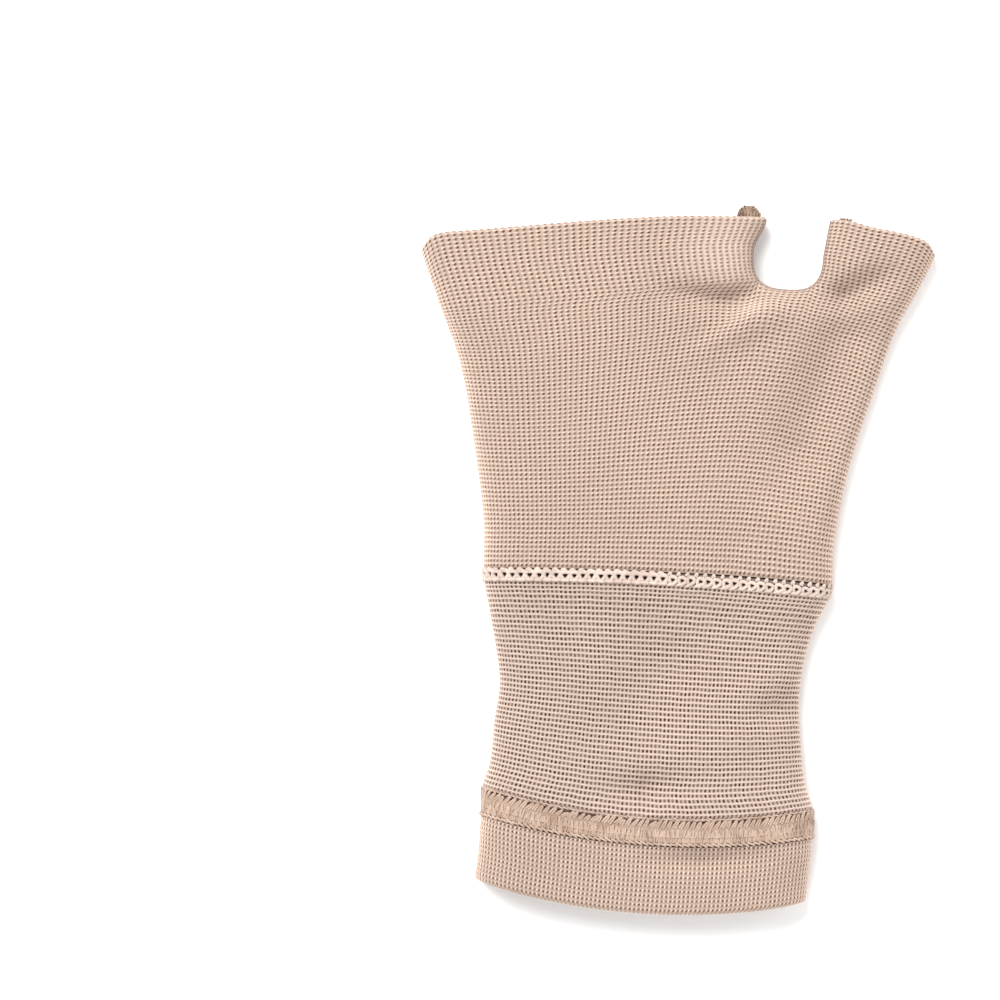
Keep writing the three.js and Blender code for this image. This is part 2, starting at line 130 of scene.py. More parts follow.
# Mesh steps for each stitch, and mesh rows for each row of the inner wall
UPPER_STEPS = (4, 4, 4)
UNDER_STEPS = (2, 4, 2)
COURSE_STEPS = 2
INNER_ROW_STEP = 6
INNER_RIM_STEP = 4
# Samples of each stretch of a knit row
FINE = 64
PALM_RELIEF = 0.00026
# The painted light and closed gaps of a fold fade out this near the web, where a line of painted shade
# follows the seam
WEB_FOLD = 0.0045
WEB_SEAM_LINE = 0.00045
# Middle and reach of the place beside the web where the courses are tight
RIB_PLACE = (0.0130, 0.0630)
RIB_REACH = (0.0120, 0.0085)
# Light on the table, where 1 makes white look just white
TABLE_LIGHT = 1.7
# How stitches are drawn: where a gap, a gleam and a rib start and end, in shares of their size. The gaps
# are painted shade, the gleams and ribs painted highlights
SWAY_SCALE = 0.31
GAP_EDGE = (1.25, 0.45)
GAP_LEAST = 0.62
GAP_SPREAD = 0.40
GLEAM_EDGE = (1.2, 0.15)
GLEAM_RISE = 0.5
RIB_EDGE = (0.12, 0.45)
# What a fold, a rib, clouds of tone and fibres do to gaps or colour: from, to, and the shares there. The
# lightening at folds and ribs is painted light; clouds and fibres vary the tone at random
FOLD_CLOSES = (0.4, 0.95, 1.0, 0.3)
FOLD_PAINTED_LIGHT = (0.16, 0.75, 1.0, 1.36)
RIB_CLOSES = (0.0, 1.0, 1.0, 0.45)
RIB_PAINTED_SHINE = 0.7
SEAM_PAINTED_SHADE = 0.5
TONE_SPREAD = 0.10
CLOUD_SCALE = 55.0
CLOUD_DETAIL = 3.0
CLOUD_LIGHT = (0.3, 0.7, 0.975, 1.02)
FIBRE_SCALE = 3800.0
FIBRE_LIGHT = (0.3, 0.7, 0.94, 1.05)
FIBRE_RISE = 0.25


def outline(column, y):
    """Smooth value of one column of the outline at y."""
    rows, values = OUTLINE[:, Y], OUTLINE[:, column]
    before = np.maximum(np.arange(len(rows)) - 1, 0)
    after = np.minimum(np.arange(len(rows)) + 1, len(rows) - 1)
    slopes = (values[after] - values[before]) / (rows[after] - rows[before])
    k = np.clip(np.searchsorted(rows, y, side="right") - 1, 0, len(rows) - 2)
    run = rows[k + 1] - rows[k]
    t = (y - rows[k]) / run
    bend = values[k] + (values[k + 1] - values[k]) * t * t * (3 - 2 * t)
    return bend + run * (slopes[k] * t * (1 - t) ** 2 + slopes[k + 1] * t * t * (t - 1))


def smooth(t):
    """Eases from 0 to 1, with level ends."""
    t = np.clip(t, 0, 1)
    return t * t * (3 - 2 * t)


def fold_rise(distance, run):
    """Rise of a rounded fold at a distance from its edge: 0 at the edge, 1 past its run."""
    rest = 1 - np.clip(distance / run, 0, 1)
    return np.sqrt(1 - rest * rest)


def nearest_on_line(x, y, x1, y1, x2, y2):
    """Distance to a straight line, and the share of the line where it is nearest."""
    dx, dy = x2 - x1, y2 - y1
    t = np.clip(((x - x1) * dx + (y - y1) * dy) / (dx * dx + dy * dy), 0, 1)
    return np.hypot(x - x1 - dx * t, y - y1 - dy * t), t


def crease_depth(x, y, width, route):
    """Depth of one crease along its route, at its deepest line and smoothly beside it."""
    deepest = np.zeros(np.shape(x))
    for (x1, y1, depth1), (x2, y2, depth2) in zip(route, route[1:]):
        distance, t = nearest_on_line(x, y, x1, y1, x2, y2)
        depth = (depth1 + (depth2 - depth1) * t) * np.exp(-(distance / width) ** 2)
        deepest = np.where(np.abs(depth) > np.abs(deepest), depth, deepest)
    return deepest


def layer_heights(x, y, folds):
    """Heights of the under and the upper layer at places whose distances to the folds are known."""
    upper = np.prod([fold_rise(d, UPPER_FOLD) for d in folds], axis=0)
    under = np.prod([fold_rise(d, UNDER_FOLD) for d in folds], axis=0)
    top = UNDER_FOLD + (outline(CROWN, y) - UNDER_FOLD) * upper
    for width, route in CREASES:
        top = top - upper * crease_depth(x, y, width, route)
    return UNDER_FOLD * (1 - under), top


def web_arc(side, angle):
    """The round part of the U: side is -1 to the fingers and 1 to the thumb."""
    across = np.abs(np.cos(angle)) ** (2 / WEB_POWER)
    down = np.abs(np.sin(angle)) ** (2 / WEB_POWER)
    return np.stack([WEB_MIDDLE + side * WEB_HALF * across, WEB_SHOULDER - WEB_DEPTH * down], -1)


def web_side(side, shares):
    """One side of the U at shares of its length, from its lower corner, 0, up to the rim, 1."""
    t = np.linspace(0, 1, 4 * FINE)
    arc = web_arc(side, math.pi / 4 * (1 - np.minimum(t / WEB_ARC_SHARE, 1)))
    up = np.maximum((t - WEB_ARC_SHARE) / (1 - WEB_ARC_SHARE), 0)
    tip = FINGER_RIM[-1][1] if side < 0 else THUMB_RIM[0][1]
    lean = WEB_FINGER_LEAN * smooth(up) if side < 0 else WEB_THUMB_LEAN * up
    return respaced(arc + np.stack([lean, (tip - WEB_SHOULDER) * up], -1), shares)


def web_foot(t):
    """The foot of the U between its two lower corners."""
    angle = math.pi / 4 + math.pi / 2 * t
    return web_arc(np.sign(angle - math.pi / 2), angle)


def web_line(samples=48):
    """The whole U from the finger rim to the thumb rim."""
    t = np.linspace(0, 1, samples + 1)
    return np.concatenate([web_side(-1, t[:0:-1]), web_foot(t[:-1]), web_side(1, t)])


def distance_to_web(x, y):
    """Distance in plan to the nearest place of the U."""
    line = web_line()
    nearest = np.full(np.shape(x), np.inf)
    for (x1, y1), (x2, y2) in zip(line, line[1:]):
        nearest = np.minimum(nearest, nearest_on_line(x, y, x1, y1, x2, y2)[0])
    return nearest


def smooth_line(points, per_span=24):
    """A smooth line through a few points."""
    p = np.array(points)
    padded = np.concatenate([p[:1], p, p[-1:]])
    t = np.linspace(0, 1, per_span, endpoint=False)[:, None]
    spans = []
    for a, b, c, d in zip(padded, padded[1:], padded[2:], padded[3:]):
        bend = (2 * a - 5 * b + 4 * c - d) * t ** 2 + (3 * b - a - 3 * c + d) * t ** 3
        spans.append((2 * b + (c - a) * t + bend) / 2)
    return np.concatenate([*spans, p[-1:]])


def respaced(line, shares):
    """Points at the given shares of a line's length."""
    steps = np.linalg.norm(np.diff(line, axis=0), axis=1)
    length = np.concatenate([[0], np.cumsum(steps)])
    return np.stack([np.interp(shares * length[-1], length, axis) for axis in line.T], -1)


def evenly(row, counts):
    """A knit row of equal stretches of FINE samples, each respaced to its count of steps."""
    stretches = []
    for k, count in enumerate(counts):
        stretch = respaced(row[k * FINE:(k + 1) * FINE + 1], np.linspace(0, 1, count + 1))
        stretches.append(stretch if k == 0 else stretch[1:])
    return np.concatenate(stretches)


def patch(s, t, bottom, top, left, right):
    """Plan of a grid inside four boundary lines."""
    s, t = s[None, :, None], t[:, None, None]
    level = bottom[None] * (1 - t) + top[None] * t
    across = left[:, None] * (1 - s) + right[:, None] * s
    low = bottom[0] * (1 - s) + bottom[-1] * s
    high = top[0] * (1 - s) + top[-1] * s
    return level + across - low * (1 - t) - high * t


def calmed(grid, reach):
    """A grid with its rows smoothed sideways, but not its last row or its two ends."""
    weights = np.hanning(2 * reach + 3)[1:-1]
    padded = np.pad(grid, ((0, 0), (reach, reach), (0, 0)), mode="reflect", reflect_type="odd")
    soft = sum(w * padded[:, k:k + grid.shape[1]] for k, w in enumerate(weights)) / weights.sum()
    share = np.clip(np.arange(len(grid))[::-1] / (SMOOTHED_COURSES * COURSE_STEPS), 0, 1)[:, None, None]
    return grid * (1 - share) + soft * share


def raised(plan, is_upper):
    """One layer of the palm sleeve over its plan."""
    x, y = plan[..., 0], plan[..., 1]
    folds = (x - outline(LEFT, y), outline(RIGHT, y) - x, distance_to_web(x, y))
    return np.dstack([plan, layer_heights(x, y, folds)[is_upper]])


def fold_line(column, ys):
    """Plan of a folded side at the given places along it."""
    return np.stack([outline(column, ys), ys], -1)


def palm_layer(is_upper, wales, steps):
    """Grids of the palm sleeve's upper or under layer: below the web, and its two sides."""
    counts = np.multiply(wales, steps)
    crowded = 0.5 - 0.5 * np.cos(np.linspace(0, math.pi, FINE + 1))
    even = np.linspace(0, 1, FINE + 1)
    marks = np.concatenate([[0], np.cumsum(wales)]) / sum(wales)
    s = np.concatenate([
        marks[0] + (marks[1] - marks[0]) * crowded,
        marks[1] + (marks[2] - marks[1]) * even[1:],
        marks[2] + (marks[3] - marks[2]) * crowded[1:],
    ])
    clear = smooth((s - HEM_LIFT_SHARES[0]) / (HEM_LIFT_SHARES[1] - HEM_LIFT_SHARES[0]))
    hem_y = PALM_HEM + outline(BOW, PALM_HEM) * 4 * s * (1 - s) + HEM_LIFT * clear
    hem_y += outline(LEAN, PALM_HEM) * (s - 0.5)
    hem_x = outline(LEFT, hem_y[0]) * (1 - s) + outline(RIGHT, hem_y[-1]) * s
    hem = np.stack([hem_x, hem_y], -1)
    start, end = fold_line(LEFT, WEB_ROW_LEFT), fold_line(RIGHT, WEB_ROW_RIGHT)
    finger_corner, thumb_corner = web_foot(np.array([0.0, 1.0]))
    finger_row = start + (finger_corner - start) * crowded[:, None]
    thumb_row = thumb_corner + (end - thumb_corner) * crowded[:, None]
    web_row = np.concatenate([finger_row, web_foot(even)[1:], thumb_row[1:]])

    t = 1 - (1 - np.linspace(0, 1, 3 * FINE)) ** 2
    left = fold_line(LEFT, hem_y[0] + (WEB_ROW_LEFT - hem_y[0]) * t)
    right = fold_line(RIGHT, hem_y[-1] + (WEB_ROW_RIGHT - hem_y[-1]) * t)
    lower = raised(patch(s, t, hem, web_row, left, right), is_upper)
    lower[:, [0, -1], 2] = UNDER_FOLD
    lower[-1, FINE:2 * FINE + 1, 2] = UNDER_FOLD
    rise = np.linspace(0, 1, PALM_COURSES * COURSE_STEPS + 1)
    eased_rise = rise + COURSE_EASE * rise * (1 - rise)
    lengths = np.linalg.norm(np.diff(lower, axis=0), axis=2).sum(axis=0)
    equal = np.linspace(0, 1, 3 * FINE)
    calm = np.polyval(np.polyfit(equal, np.interp(equal, s, lengths), 3), s)
    near_web = np.clip((rise - CALM_SHARE) / (1 - CALM_SHARE), 0, 1) ** BEND_POWER
    lower = np.stack([
        respaced(lower[:, i], (calm[i] * eased_rise + (lengths[i] - calm[i]) * near_web) / lengths[i])
        for i in range(len(s))], 1)
    lower = calmed(np.stack([evenly(row, counts) for row in lower]), 2 * steps[0])

    t = np.linspace(0, 1, RIM_COURSES * COURSE_STEPS + 1)
    left = fold_line(LEFT, WEB_ROW_LEFT + (FINGER_RIM[0][1] - WEB_ROW_LEFT) * t)
    rim = respaced(smooth_line(FINGER_RIM), crowded)
    finger = raised(patch(crowded, t, finger_row, rim, left, web_side(-1, t)), is_upper)
    right = fold_line(RIGHT, WEB_ROW_RIGHT + (THUMB_RIM[-1][1] - WEB_ROW_RIGHT) * t)
    rim = respaced(smooth_line(THUMB_RIM), crowded)
    thumb = raised(patch(crowded, t, thumb_row, rim, web_side(1, t), right), is_upper)
    for grid in (finger, thumb):
        grid[:, [0, -1], 2] = UNDER_FOLD
    finger = np.stack([evenly(row, counts[:1]) for row in finger])
    thumb = np.stack([evenly(row, counts[2:]) for row in thumb])
    return lower, finger, thumb


class Cloth:
    """Points, four-sided faces and stitch coordinates of a knit piece, gathered grid by grid."""

    def __init__(self):
        self.points = np.zeros((0, 3))
        self.faces = []
        self.corners = []
        self.values = {}

    def add_points(self, grid):
        """Adds a grid of points and gives their numbers."""
        first = len(self.points)
        self.points = np.concatenate([self.points, grid.reshape(-1, 3)])
        return np.arange(first, len(self.points)).reshape(grid.shape[:-1])

    def add_faces(self, numbers, stitches, flip=False):
        """Adds the faces between a grid's points, with the stitch coordinates of their corners."""
        around = [np.s_[:-1, :-1], np.s_[:-1, 1:], np.s_[1:, 1:], np.s_[1:, :-1]]
        if flip:
            around = around[::-1]
        self.faces.append(np.stack([numbers[part].ravel() for part in around], -1))
        self.corners.append(np.stack([stitches[part].reshape(-1, 2) for part in around], 1))

    def normals(self):
        """The way that the cloth faces at each point."""
        faces = np.concatenate(self.faces)
        a, b, c, d = (self.points[faces[:, k]] for k in range(4))
        facing = np.cross(c - a, d - b)
        total = np.zeros_like(self.points)
        for k in range(4):
            np.add.at(total, faces[:, k], facing)
        length = np.linalg.norm(total, axis=1, keepdims=True)
        return total / np.maximum(length, 1e-12)

    def make(self, name, material):
        """The finished object, without points that no face uses."""
        faces = np.concatenate(self.faces)
        used, faces = np.unique(faces, return_inverse=True)
        faces = faces.reshape(-1, 4)
        mesh = bpy.data.meshes.new(name)
        mesh.vertices.add(len(used))
        mesh.vertices.foreach_set("co", self.points[used].ravel())
        mesh.loops.add(faces.size)
        mesh.loops.foreach_set("vertex_index", faces.ravel())
        mesh.polygons.add(len(faces))
        mesh.polygons.foreach_set("loop_start", np.arange(len(faces)) * 4)
        mesh.update(calc_edges=True)
        mesh.uv_layers.new(name="stitches")
        mesh.uv_layers["stitches"].data.foreach_set("uv", np.concatenate(self.corners).ravel())
        for key, values in self.values.items():
            mesh.attributes.new(key, "FLOAT", "POINT").data.foreach_set("value", values[used])
        mesh.shade_smooth()
        mesh.materials.append(material)
        made = bpy.data.objects.new(name, mesh)
        bpy.context.scene.collection.objects.link(made)
        return made


def stitch_grid(wale_line, course_line):
    """Stitch coordinates of a grid: wales along it and courses up it."""
    return np.dstack(np.meshgrid(wale_line, course_line))


def set_inputs(made, inputs):
    """Sets a node's inputs to values, or joins them to sockets."""
    for key, value in dict(inputs).items():
        if isinstance(value, bpy.types.NodeSocket):
            made.id_data.links.new(value, made.inputs[key])
        else:
            made.inputs[key].default_value = value


def node(tree, kind, inputs=(), **settings):
    """A new node with its settings and its inputs."""
    made = tree.nodes.new(kind)
    for name, value in settings.items():
        setattr(made, name, value)
    set_inputs(made, inputs)
    return made


def calc(tree, operation, a, b=0.0, c=0.0):
    """A sum of one, two or three values."""
    return node(tree, "ShaderNodeMath", {0: a, 1: b, 2: c}, operation=operation).outputs[0]


def product(tree, first, *others):
    """Values multiplied together."""
    for other in others:
        first = calc(tree, "MULTIPLY", first, other)
    return first


def vector(tree, operation, a, b=(0.0, 0.0, 0.0)):
    """A sum of one or two vectors."""
    return node(tree, "ShaderNodeVectorMath", {0: a, 1: b}, operation=operation).outputs[0]


def mixed(tree, share, a, b, blend_type="MIX"):
    """A mix of two colours."""
    made = node(tree, "ShaderNodeMix", data_type="RGBA", blend_type=blend_type)
    places = {socket.identifier: k for k, socket in enumerate(made.inputs)}
    set_inputs(made, {places["Factor_Float"]: share, places["A_Color"]: a, places["B_Color"]: b})
    return next(socket for socket in made.outputs if socket.identifier == "Result_Color")


def eased(tree, value, start, end, low=0.0, high=1.0):
    """A value eased from low at start to high at end."""
    inputs = {"Value": value, "From Min": start, "From Max": end, "To Min": low, "To Max": high}
    made = node(tree, "ShaderNodeMapRange", inputs, interpolation_type="SMOOTHSTEP")
    return made.outputs["Result"]


def noise(tree, place, scale, detail=2.0):
    """The outputs of a soft random texture."""
    return node(tree, "ShaderNodeTexNoise", {"Vector": place, "Scale": scale, "Detail": detail}).outputs


def stored(tree, name):
    """A value that is stored on the piece's points, or 0 where a piece has none."""
    return node(tree, "ShaderNodeAttribute", attribute_name=name).outputs["Fac"]


def oval(tree, across, up, width, height):
    """Distance from the middle of an oval, as a share of the way to its edge."""
    wide = calc(tree, "DIVIDE", across, width)
    high = calc(tree, "DIVIDE", up, height)
    return calc(tree, "SQRT", calc(tree, "ADD", product(tree, wide, wide), product(tree, high, high)))


def yarn(red, green, blue):
    """Colour of a yarn that looks like this on a screen, 0 to 255, in the light on the table."""
    light = [((v / 255 + 0.055) / 1.055) ** 2.4 / TABLE_LIGHT for v in (red, green, blue)]
    return (*light, 1.0)


def add_sockets(tree, in_out, kind, *names):
    """Named inputs or outputs of a node tree."""
    for name in names:
        tree.interface.new_socket(name, in_out=in_out, socket_type="NodeSocket" + kind)


def new_material(name):
    """A new material, with its node tree and its surface."""
    material = bpy.data.materials.new(name)
    material.use_nodes = True
    return material, material.node_tree, material.node_tree.nodes["Principled BSDF"]


def knit_group():
    """Shader group that draws knit stitches: the gap of each one, painted dark as shade, and the gleam of
    the yarn beside it, a painted highlight.
    """
    group = bpy.data.node_groups.new("knit stitches", "ShaderNodeTree")
    add_sockets(group, "INPUT", "Vector", "Stitch")
    add_sockets(group, "INPUT", "Float", "Gap Width", "Gap Height", "Slant", "Gleam X", "Gleam Y",
                "Gleam Width", "Gleam Height", "Unevenness")
    add_sockets(group, "OUTPUT", "Float", "Gap", "Gleam", "Rib", "Height", "Tone")
    given = group.nodes.new("NodeGroupInput").outputs
    sway = vector(group, "SUBTRACT", noise(group, given["Stitch"], SWAY_SCALE)["Color"], (0.5, 0.5, 0.5))
    sway = vector(group, "MULTIPLY", sway, given["Unevenness"])
    place = vector(group, "ADD", given["Stitch"], sway)
    cell = vector(group, "FLOOR", place)
    chance = node(group, "ShaderNodeTexWhiteNoise", {"Vector": cell}, noise_dimensions="2D")
    chance = chance.outputs["Value"]
    inside = node(group, "ShaderNodeSeparateXYZ", {0: vector(group, "FRACTION", place)}).outputs
    across = calc(group, "SUBTRACT", inside["X"], 0.5)
    up = calc(group, "SUBTRACT", inside["Y"], 0.5)
    slanted = calc(group, "SUBTRACT", across, product(group, up, given["Slant"]))

    # The gap: a dark oval, painted shade where the hole between stitches lies in shadow
    reach = oval(group, slanted, up, given["Gap Width"], given["Gap Height"])
    depth = calc(group, "MULTIPLY_ADD", chance, GAP_SPREAD, GAP_LEAST)
    gap = product(group, eased(group, reach, *GAP_EDGE), depth)
    # The gleam: a painted highlight on the yarn beside each gap
    aside = calc(group, "WRAP", calc(group, "SUBTRACT", slanted, given["Gleam X"]), 0.5, -0.5)
    above = calc(group, "WRAP", calc(group, "SUBTRACT", up, given["Gleam Y"]), 0.5, -0.5)
    reach = oval(group, aside, above, given["Gleam Width"], given["Gleam Height"])
    gleam = eased(group, reach, *GLEAM_EDGE)
    # The rib: where tight wales get a painted highlight
    rib = eased(group, calc(group, "ABSOLUTE", across), *RIB_EDGE)
    height = calc(group, "SUBTRACT", product(group, gleam, GLEAM_RISE), gap)
    outputs = {"Gap": gap, "Gleam": gleam, "Rib": rib, "Height": height, "Tone": chance}
    node(group, "NodeGroupOutput", outputs)
    return group


KNIT = knit_group()


def knit_material(name, light, mid, dark, pattern, bump):
    """Elastic knit: the yarn's colour laid over the stitches of the piece's own stitch map, with painted
    shade in the gaps and painted highlights on the gleams, ribs and folds.
    """
    material, tree, surface = new_material(name)
    stitch = node(tree, "ShaderNodeUVMap", uv_map="stitches").outputs["UV"]
    knit = node(tree, "ShaderNodeGroup", {"Stitch": stitch, **pattern}, node_tree=KNIT).outputs
    place = node(tree, "ShaderNodeTexCoord").outputs["Object"]
    cloud = noise(tree, place, CLOUD_SCALE, CLOUD_DETAIL)["Fac"]
    fibre = noise(tree, place, FIBRE_SCALE)["Fac"]
    fold, ribbed, seam_shade_line = (stored(tree, key) for key in ("fold", "rib", "seam_shade_line"))
    gap = product(tree, knit["Gap"], eased(tree, fold, *FOLD_CLOSES), eased(tree, ribbed, *RIB_CLOSES))
    # A line of painted shade along the web's seam
    gap = calc(tree, "MAXIMUM", gap, product(tree, seam_shade_line, SEAM_PAINTED_SHADE))
    # Painted highlight on the tight ribs
    rib = product(tree, knit["Rib"], ribbed, RIB_PAINTED_SHINE)
    # The light colour is the painted highlight of gleams and ribs, the mid colour the yarn itself
    colour = mixed(tree, calc(tree, "MAXIMUM", knit["Gleam"], rib), mid, light)
    lift = calc(tree, "MULTIPLY_ADD", knit["Tone"], TONE_SPREAD, 1 - TONE_SPREAD)
    # Random tone, clouds and fibres, times painted light on the steep faces of the folds
    lift = product(tree, lift, eased(tree, fold, *FOLD_PAINTED_LIGHT), eased(tree, cloud, *CLOUD_LIGHT),
                   eased(tree, fibre, *FIBRE_LIGHT))
    shade = node(tree, "ShaderNodeCombineXYZ", {0: lift, 1: lift, 2: lift}).outputs[0]
    colour = mixed(tree, 1.0, colour, shade, "MULTIPLY")
    # The gaps are painted in the dark colour as shade
    colour = mixed(tree, gap, colour, dark)
    height = calc(tree, "MULTIPLY_ADD", fibre, FIBRE_RISE, knit["Height"])
    stitches = {"Height": height, "Strength": 0.8, "Distance": bump}
    set_inputs(surface, {
        "Base Color": colour, "Normal": node(tree, "ShaderNodeBump", stitches).outputs["Normal"],
        "Roughness": 0.9, "Specular IOR Level": 0.12,
        "Sheen Weight": 0.45, "Sheen Roughness": 0.5, "Sheen Tint": light,
    })
    return material


palm = Cloth()
palm_rows = COURSE_STEPS * PALM_COURSES
palm_grids = []
for is_upper, wales, steps in ((True, UPPER_WALES, UPPER_STEPS), (False, UNDER_WALES, UNDER_STEPS)):
    counts = np.multiply(wales, steps)
    wale_line = np.concatenate([[0], np.cumsum(np.repeat(1 / np.array(steps), counts))])
    course_line = np.arange(palm_rows + 1) / COURSE_STEPS
    rim_line = PALM_COURSES + np.arange(RIM_COURSES * COURSE_STEPS + 1) / COURSE_STEPS
    finger_end, thumb_start = counts[0], counts[:2].sum()
    lower, finger, thumb = (palm.add_points(grid) for grid in palm_layer(is_upper, wales, steps))
    if not is_upper:
        upper_lower, upper_finger, upper_thumb = (entry[0] for entry in palm_grids)
        lower[:, [0, -1]] = upper_lower[:, [0, -1]]
        web_columns = np.s_[upper_finger.shape[1] - 1:upper_lower.shape[1] - upper_thumb.shape[1] + 1]
        lower[-1, finger_end:thumb_start + 1] = upper_lower[-1, web_columns]
        finger[:, [0, -1]] = upper_finger[:, [0, -1]]
        thumb[:, [0, -1]] = upper_thumb[:, [0, -1]]
    finger[0] = lower[-1, :finger_end + 1]
    thumb[0] = lower[-1, thumb_start:]
    palm_grids += [
        (lower, stitch_grid(wale_line, course_line), not is_upper, INNER_ROW_STEP),
        (finger, stitch_grid(wale_line[:finger_end + 1], rim_line), not is_upper, INNER_RIM_STEP),
        (thumb, stitch_grid(wale_line[thumb_start:], rim_line), not is_upper, INNER_RIM_STEP),
    ]
for numbers, stitches, flip, _ in palm_grids:
    palm.add_faces(numbers, stitches, flip)
facing = palm.normals()
base = palm.points.copy()
relief = np.zeros(len(base))
for numbers, stitches, _, _ in palm_grids:
    relief[numbers] = (np.sin(math.pi * stitches[..., 1]) ** 2
                       * np.abs(np.sin(math.pi * stitches[..., 0])) ** 3)
palm.points = base - facing * (PALM_RELIEF * relief)[:, None]
inner_of = palm.add_points(base - facing * PALM_WALL)
rim_of = palm.add_points(base - facing * PALM_WALL / 2)
# Where the courses are tight their gaps close, and the wales get a painted highlight as ribs
rib_x, rib_y = ((base[:, k] - RIB_PLACE[k]) / RIB_REACH[k] for k in (0, 1))
ribs = np.exp(-rib_x ** 2 - rib_y ** 4)
to_web = distance_to_web(base[:, 0], base[:, 1])
# Steep faces of the folds get painted light and closed gaps, fading out near the web
folds = (1 - np.abs(facing[:, 2])) * np.clip(to_web / WEB_FOLD, 0, 1)
# Share of the painted shade line along the web's seam
seam_shade_share = np.exp(-(to_web / WEB_SEAM_LINE) ** 2)
palm.values = {"fold": np.tile(folds, 3), "rib": np.tile(ribs, 3), "seam_shade_line": np.tile(seam_shade_share, 3)}
for grid, (numbers, stitches, flip, row_step) in enumerate(palm_grids):
    palm.add_faces(inner_of[numbers[::row_step]], stitches[::row_step], not flip)
    if grid % 3 == 0:
        palm.add_faces(np.stack([inner_of[numbers[0]], numbers[0]]), stitches[:2], flip)
    else:
        last = numbers[-1]
        ahead = base[last] - base[numbers[-2]]
        ahead /= np.linalg.norm(ahead, axis=1, keepdims=True)
        scallop = RIM_ROUND * (1 - RIM_SCALLOP * np.cos(2 * math.pi * stitches[-1, :, 0]))
        palm.points[rim_of[last]] = base[last] - facing[last] * PALM_WALL / 2 + ahead * scallop[:, None]
        rim = np.stack([last, rim_of[last], inner_of[last]])
        palm.add_faces(rim, stitches[-3:] + (0, 1), flip)

palm_pattern = {
    "Gap Width": 0.26, "Gap Height": 0.33, "Slant": 0.28, "Gleam X": -0.26, "Gleam Y": 0.38,
    "Gleam Width": 0.50, "Gleam Height": 0.32, "Unevenness": 0.28,
}
# Light is the painted highlight of the gleams, mid the yarn, dark the painted shade in the gaps
palm_knit = knit_material("palm knit", yarn(252, 227, 210), yarn(205, 178, 161), yarn(104, 73, 57),
                          palm_pattern, 0.0002)
palm_sleeve = palm.make("palm_sleeve_knit", palm_knit)
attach(palm_sleeve, "root")
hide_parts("palm_sleeve")

# Wrist sleeve
# A narrower tube of the same elastic yarn, knitted more openly, so that its courses are drawn as bright
# ribs, a painted highlight, with a row of gaps in painted shade between. Its top is lapped inside the palm
# sleeve.

WRIST_WALL = 0.0010
GAP = 0.0003
# Wales round the wrist sleeve and the cuff, and mesh steps for each
WALES_ROUND = 164
RING_STEPS = 4
# Top and foot of the joining seam, and how the wrist sleeve is lapped and steps in behind it
JOIN_TOP = -0.00375
JOIN_FOOT = -0.0064
LAP = 0.0025
LAP_EASE = 0.0006
# Top and foot of the cuff seam, and how the wrist sleeve steps in behind it
OVERLOCK_TOP = -0.0482
OVERLOCK_FOOT = -0.0537
OVERLOCK_THICK = 0.0015
OVERLOCK_EASE = 0.0008
OVERLOCK_HANG = 0.0006
# The first courses under the joining seam are pulled tight
TIGHT_COURSES = 3
TIGHT_PITCH = 0.00084
WRIST_COURSES = 44
# The courses close up a little towards the cuff
COURSE_CLOSE = 0.06
WRIST_ROW_STEPS = 3
WRIST_HIDDEN_ROWS = 3
# Rows of the inner wall between its ends, closer together behind the dents
WRIST_INNER_YS = (
    -0.0498, -0.0478, -0.0458, -0.0438, -0.0418, -0.0396,
    -0.0335, -0.0308, -0.0280, -0.0252, -0.0205, -0.0130,
)
WRIST_RELIEF = 0.00028
# Share of the relief that runs on between the gaps of a course
WRIST_GROOVE = 0.35


def loop_around(y, out, count, shift=0.0):
    """Evenly spaced points of a loop round the sleeve, moved out from its outline by a distance.
    The loop starts at the left fold, under the sleeve, and its underside stays on the table."""
    left, right, bow, lean = (outline(column, y) for column in (LEFT, RIGHT, BOW, LEAN))
    u = 0.5 - 0.5 * np.cos(np.linspace(0, math.pi, 2 * FINE + 1))
    x = left + (right - left) * u
    row = y + bow * 4 * u * (1 - u) + lean * (u - 0.5)
    bottom, top = layer_heights(x, row, (x - left, right - x))
    under = np.stack([x, row, bottom], -1)[:-1]
    upper = np.stack([x, row, top], -1)[:0:-1]
    base = np.concatenate([under, upper])
    turn = np.roll(base, -1, axis=0) - np.roll(base, 1, axis=0)
    outward = np.stack([turn[:, 2], np.zeros(len(turn)), -turn[:, 0]], -1)
    loop = base + out * outward / np.linalg.norm(outward, axis=1, keepdims=True)
    loop[:, 2] = np.maximum(loop[:, 2], 0)
    return respaced(np.concatenate([loop, loop[:1]]), (np.arange(count) + shift) / count)


def wrist_inset(y):
    """How far the wrist sleeve lies inside the outline: under both seams, and not between them."""
    above = smooth((y - JOIN_FOOT) / LAP_EASE)
    below = smooth((OVERLOCK_TOP - OVERLOCK_HANG - y) / OVERLOCK_EASE + 1)
    return (PALM_WALL + GAP) * above + (OVERLOCK_THICK + GAP) * below


def ring_cloth(profile, relief_at):
    """A closed knit ring through (y, out, course) rows. relief_at gives the depth of its gaps."""
    cloth = Cloth()
    columns = WALES_ROUND * RING_STEPS
    numbers = cloth.add_points(np.stack([loop_around(y, out, columns) for y, out, _ in profile]))
    numbers = np.concatenate([numbers, numbers[:, :1]], axis=1)
    stitches = stitch_grid(np.arange(columns + 1) / RING_STEPS, [course for _, _, course in profile])
    cloth.add_faces(numbers, stitches)
    cloth.add_faces(numbers[[-1, 0]], stitches[[-1, -2]])
    depth = np.zeros(len(cloth.points))
    depth[numbers] = relief_at(stitches[..., 0], stitches[..., 1])
    facing = cloth.normals()
    cloth.points = cloth.points - facing * depth[:, None]
    # The fold share paints light onto the ring's steep faces
    cloth.values["fold"] = 1 - np.abs(facing[:, 2])
    return cloth


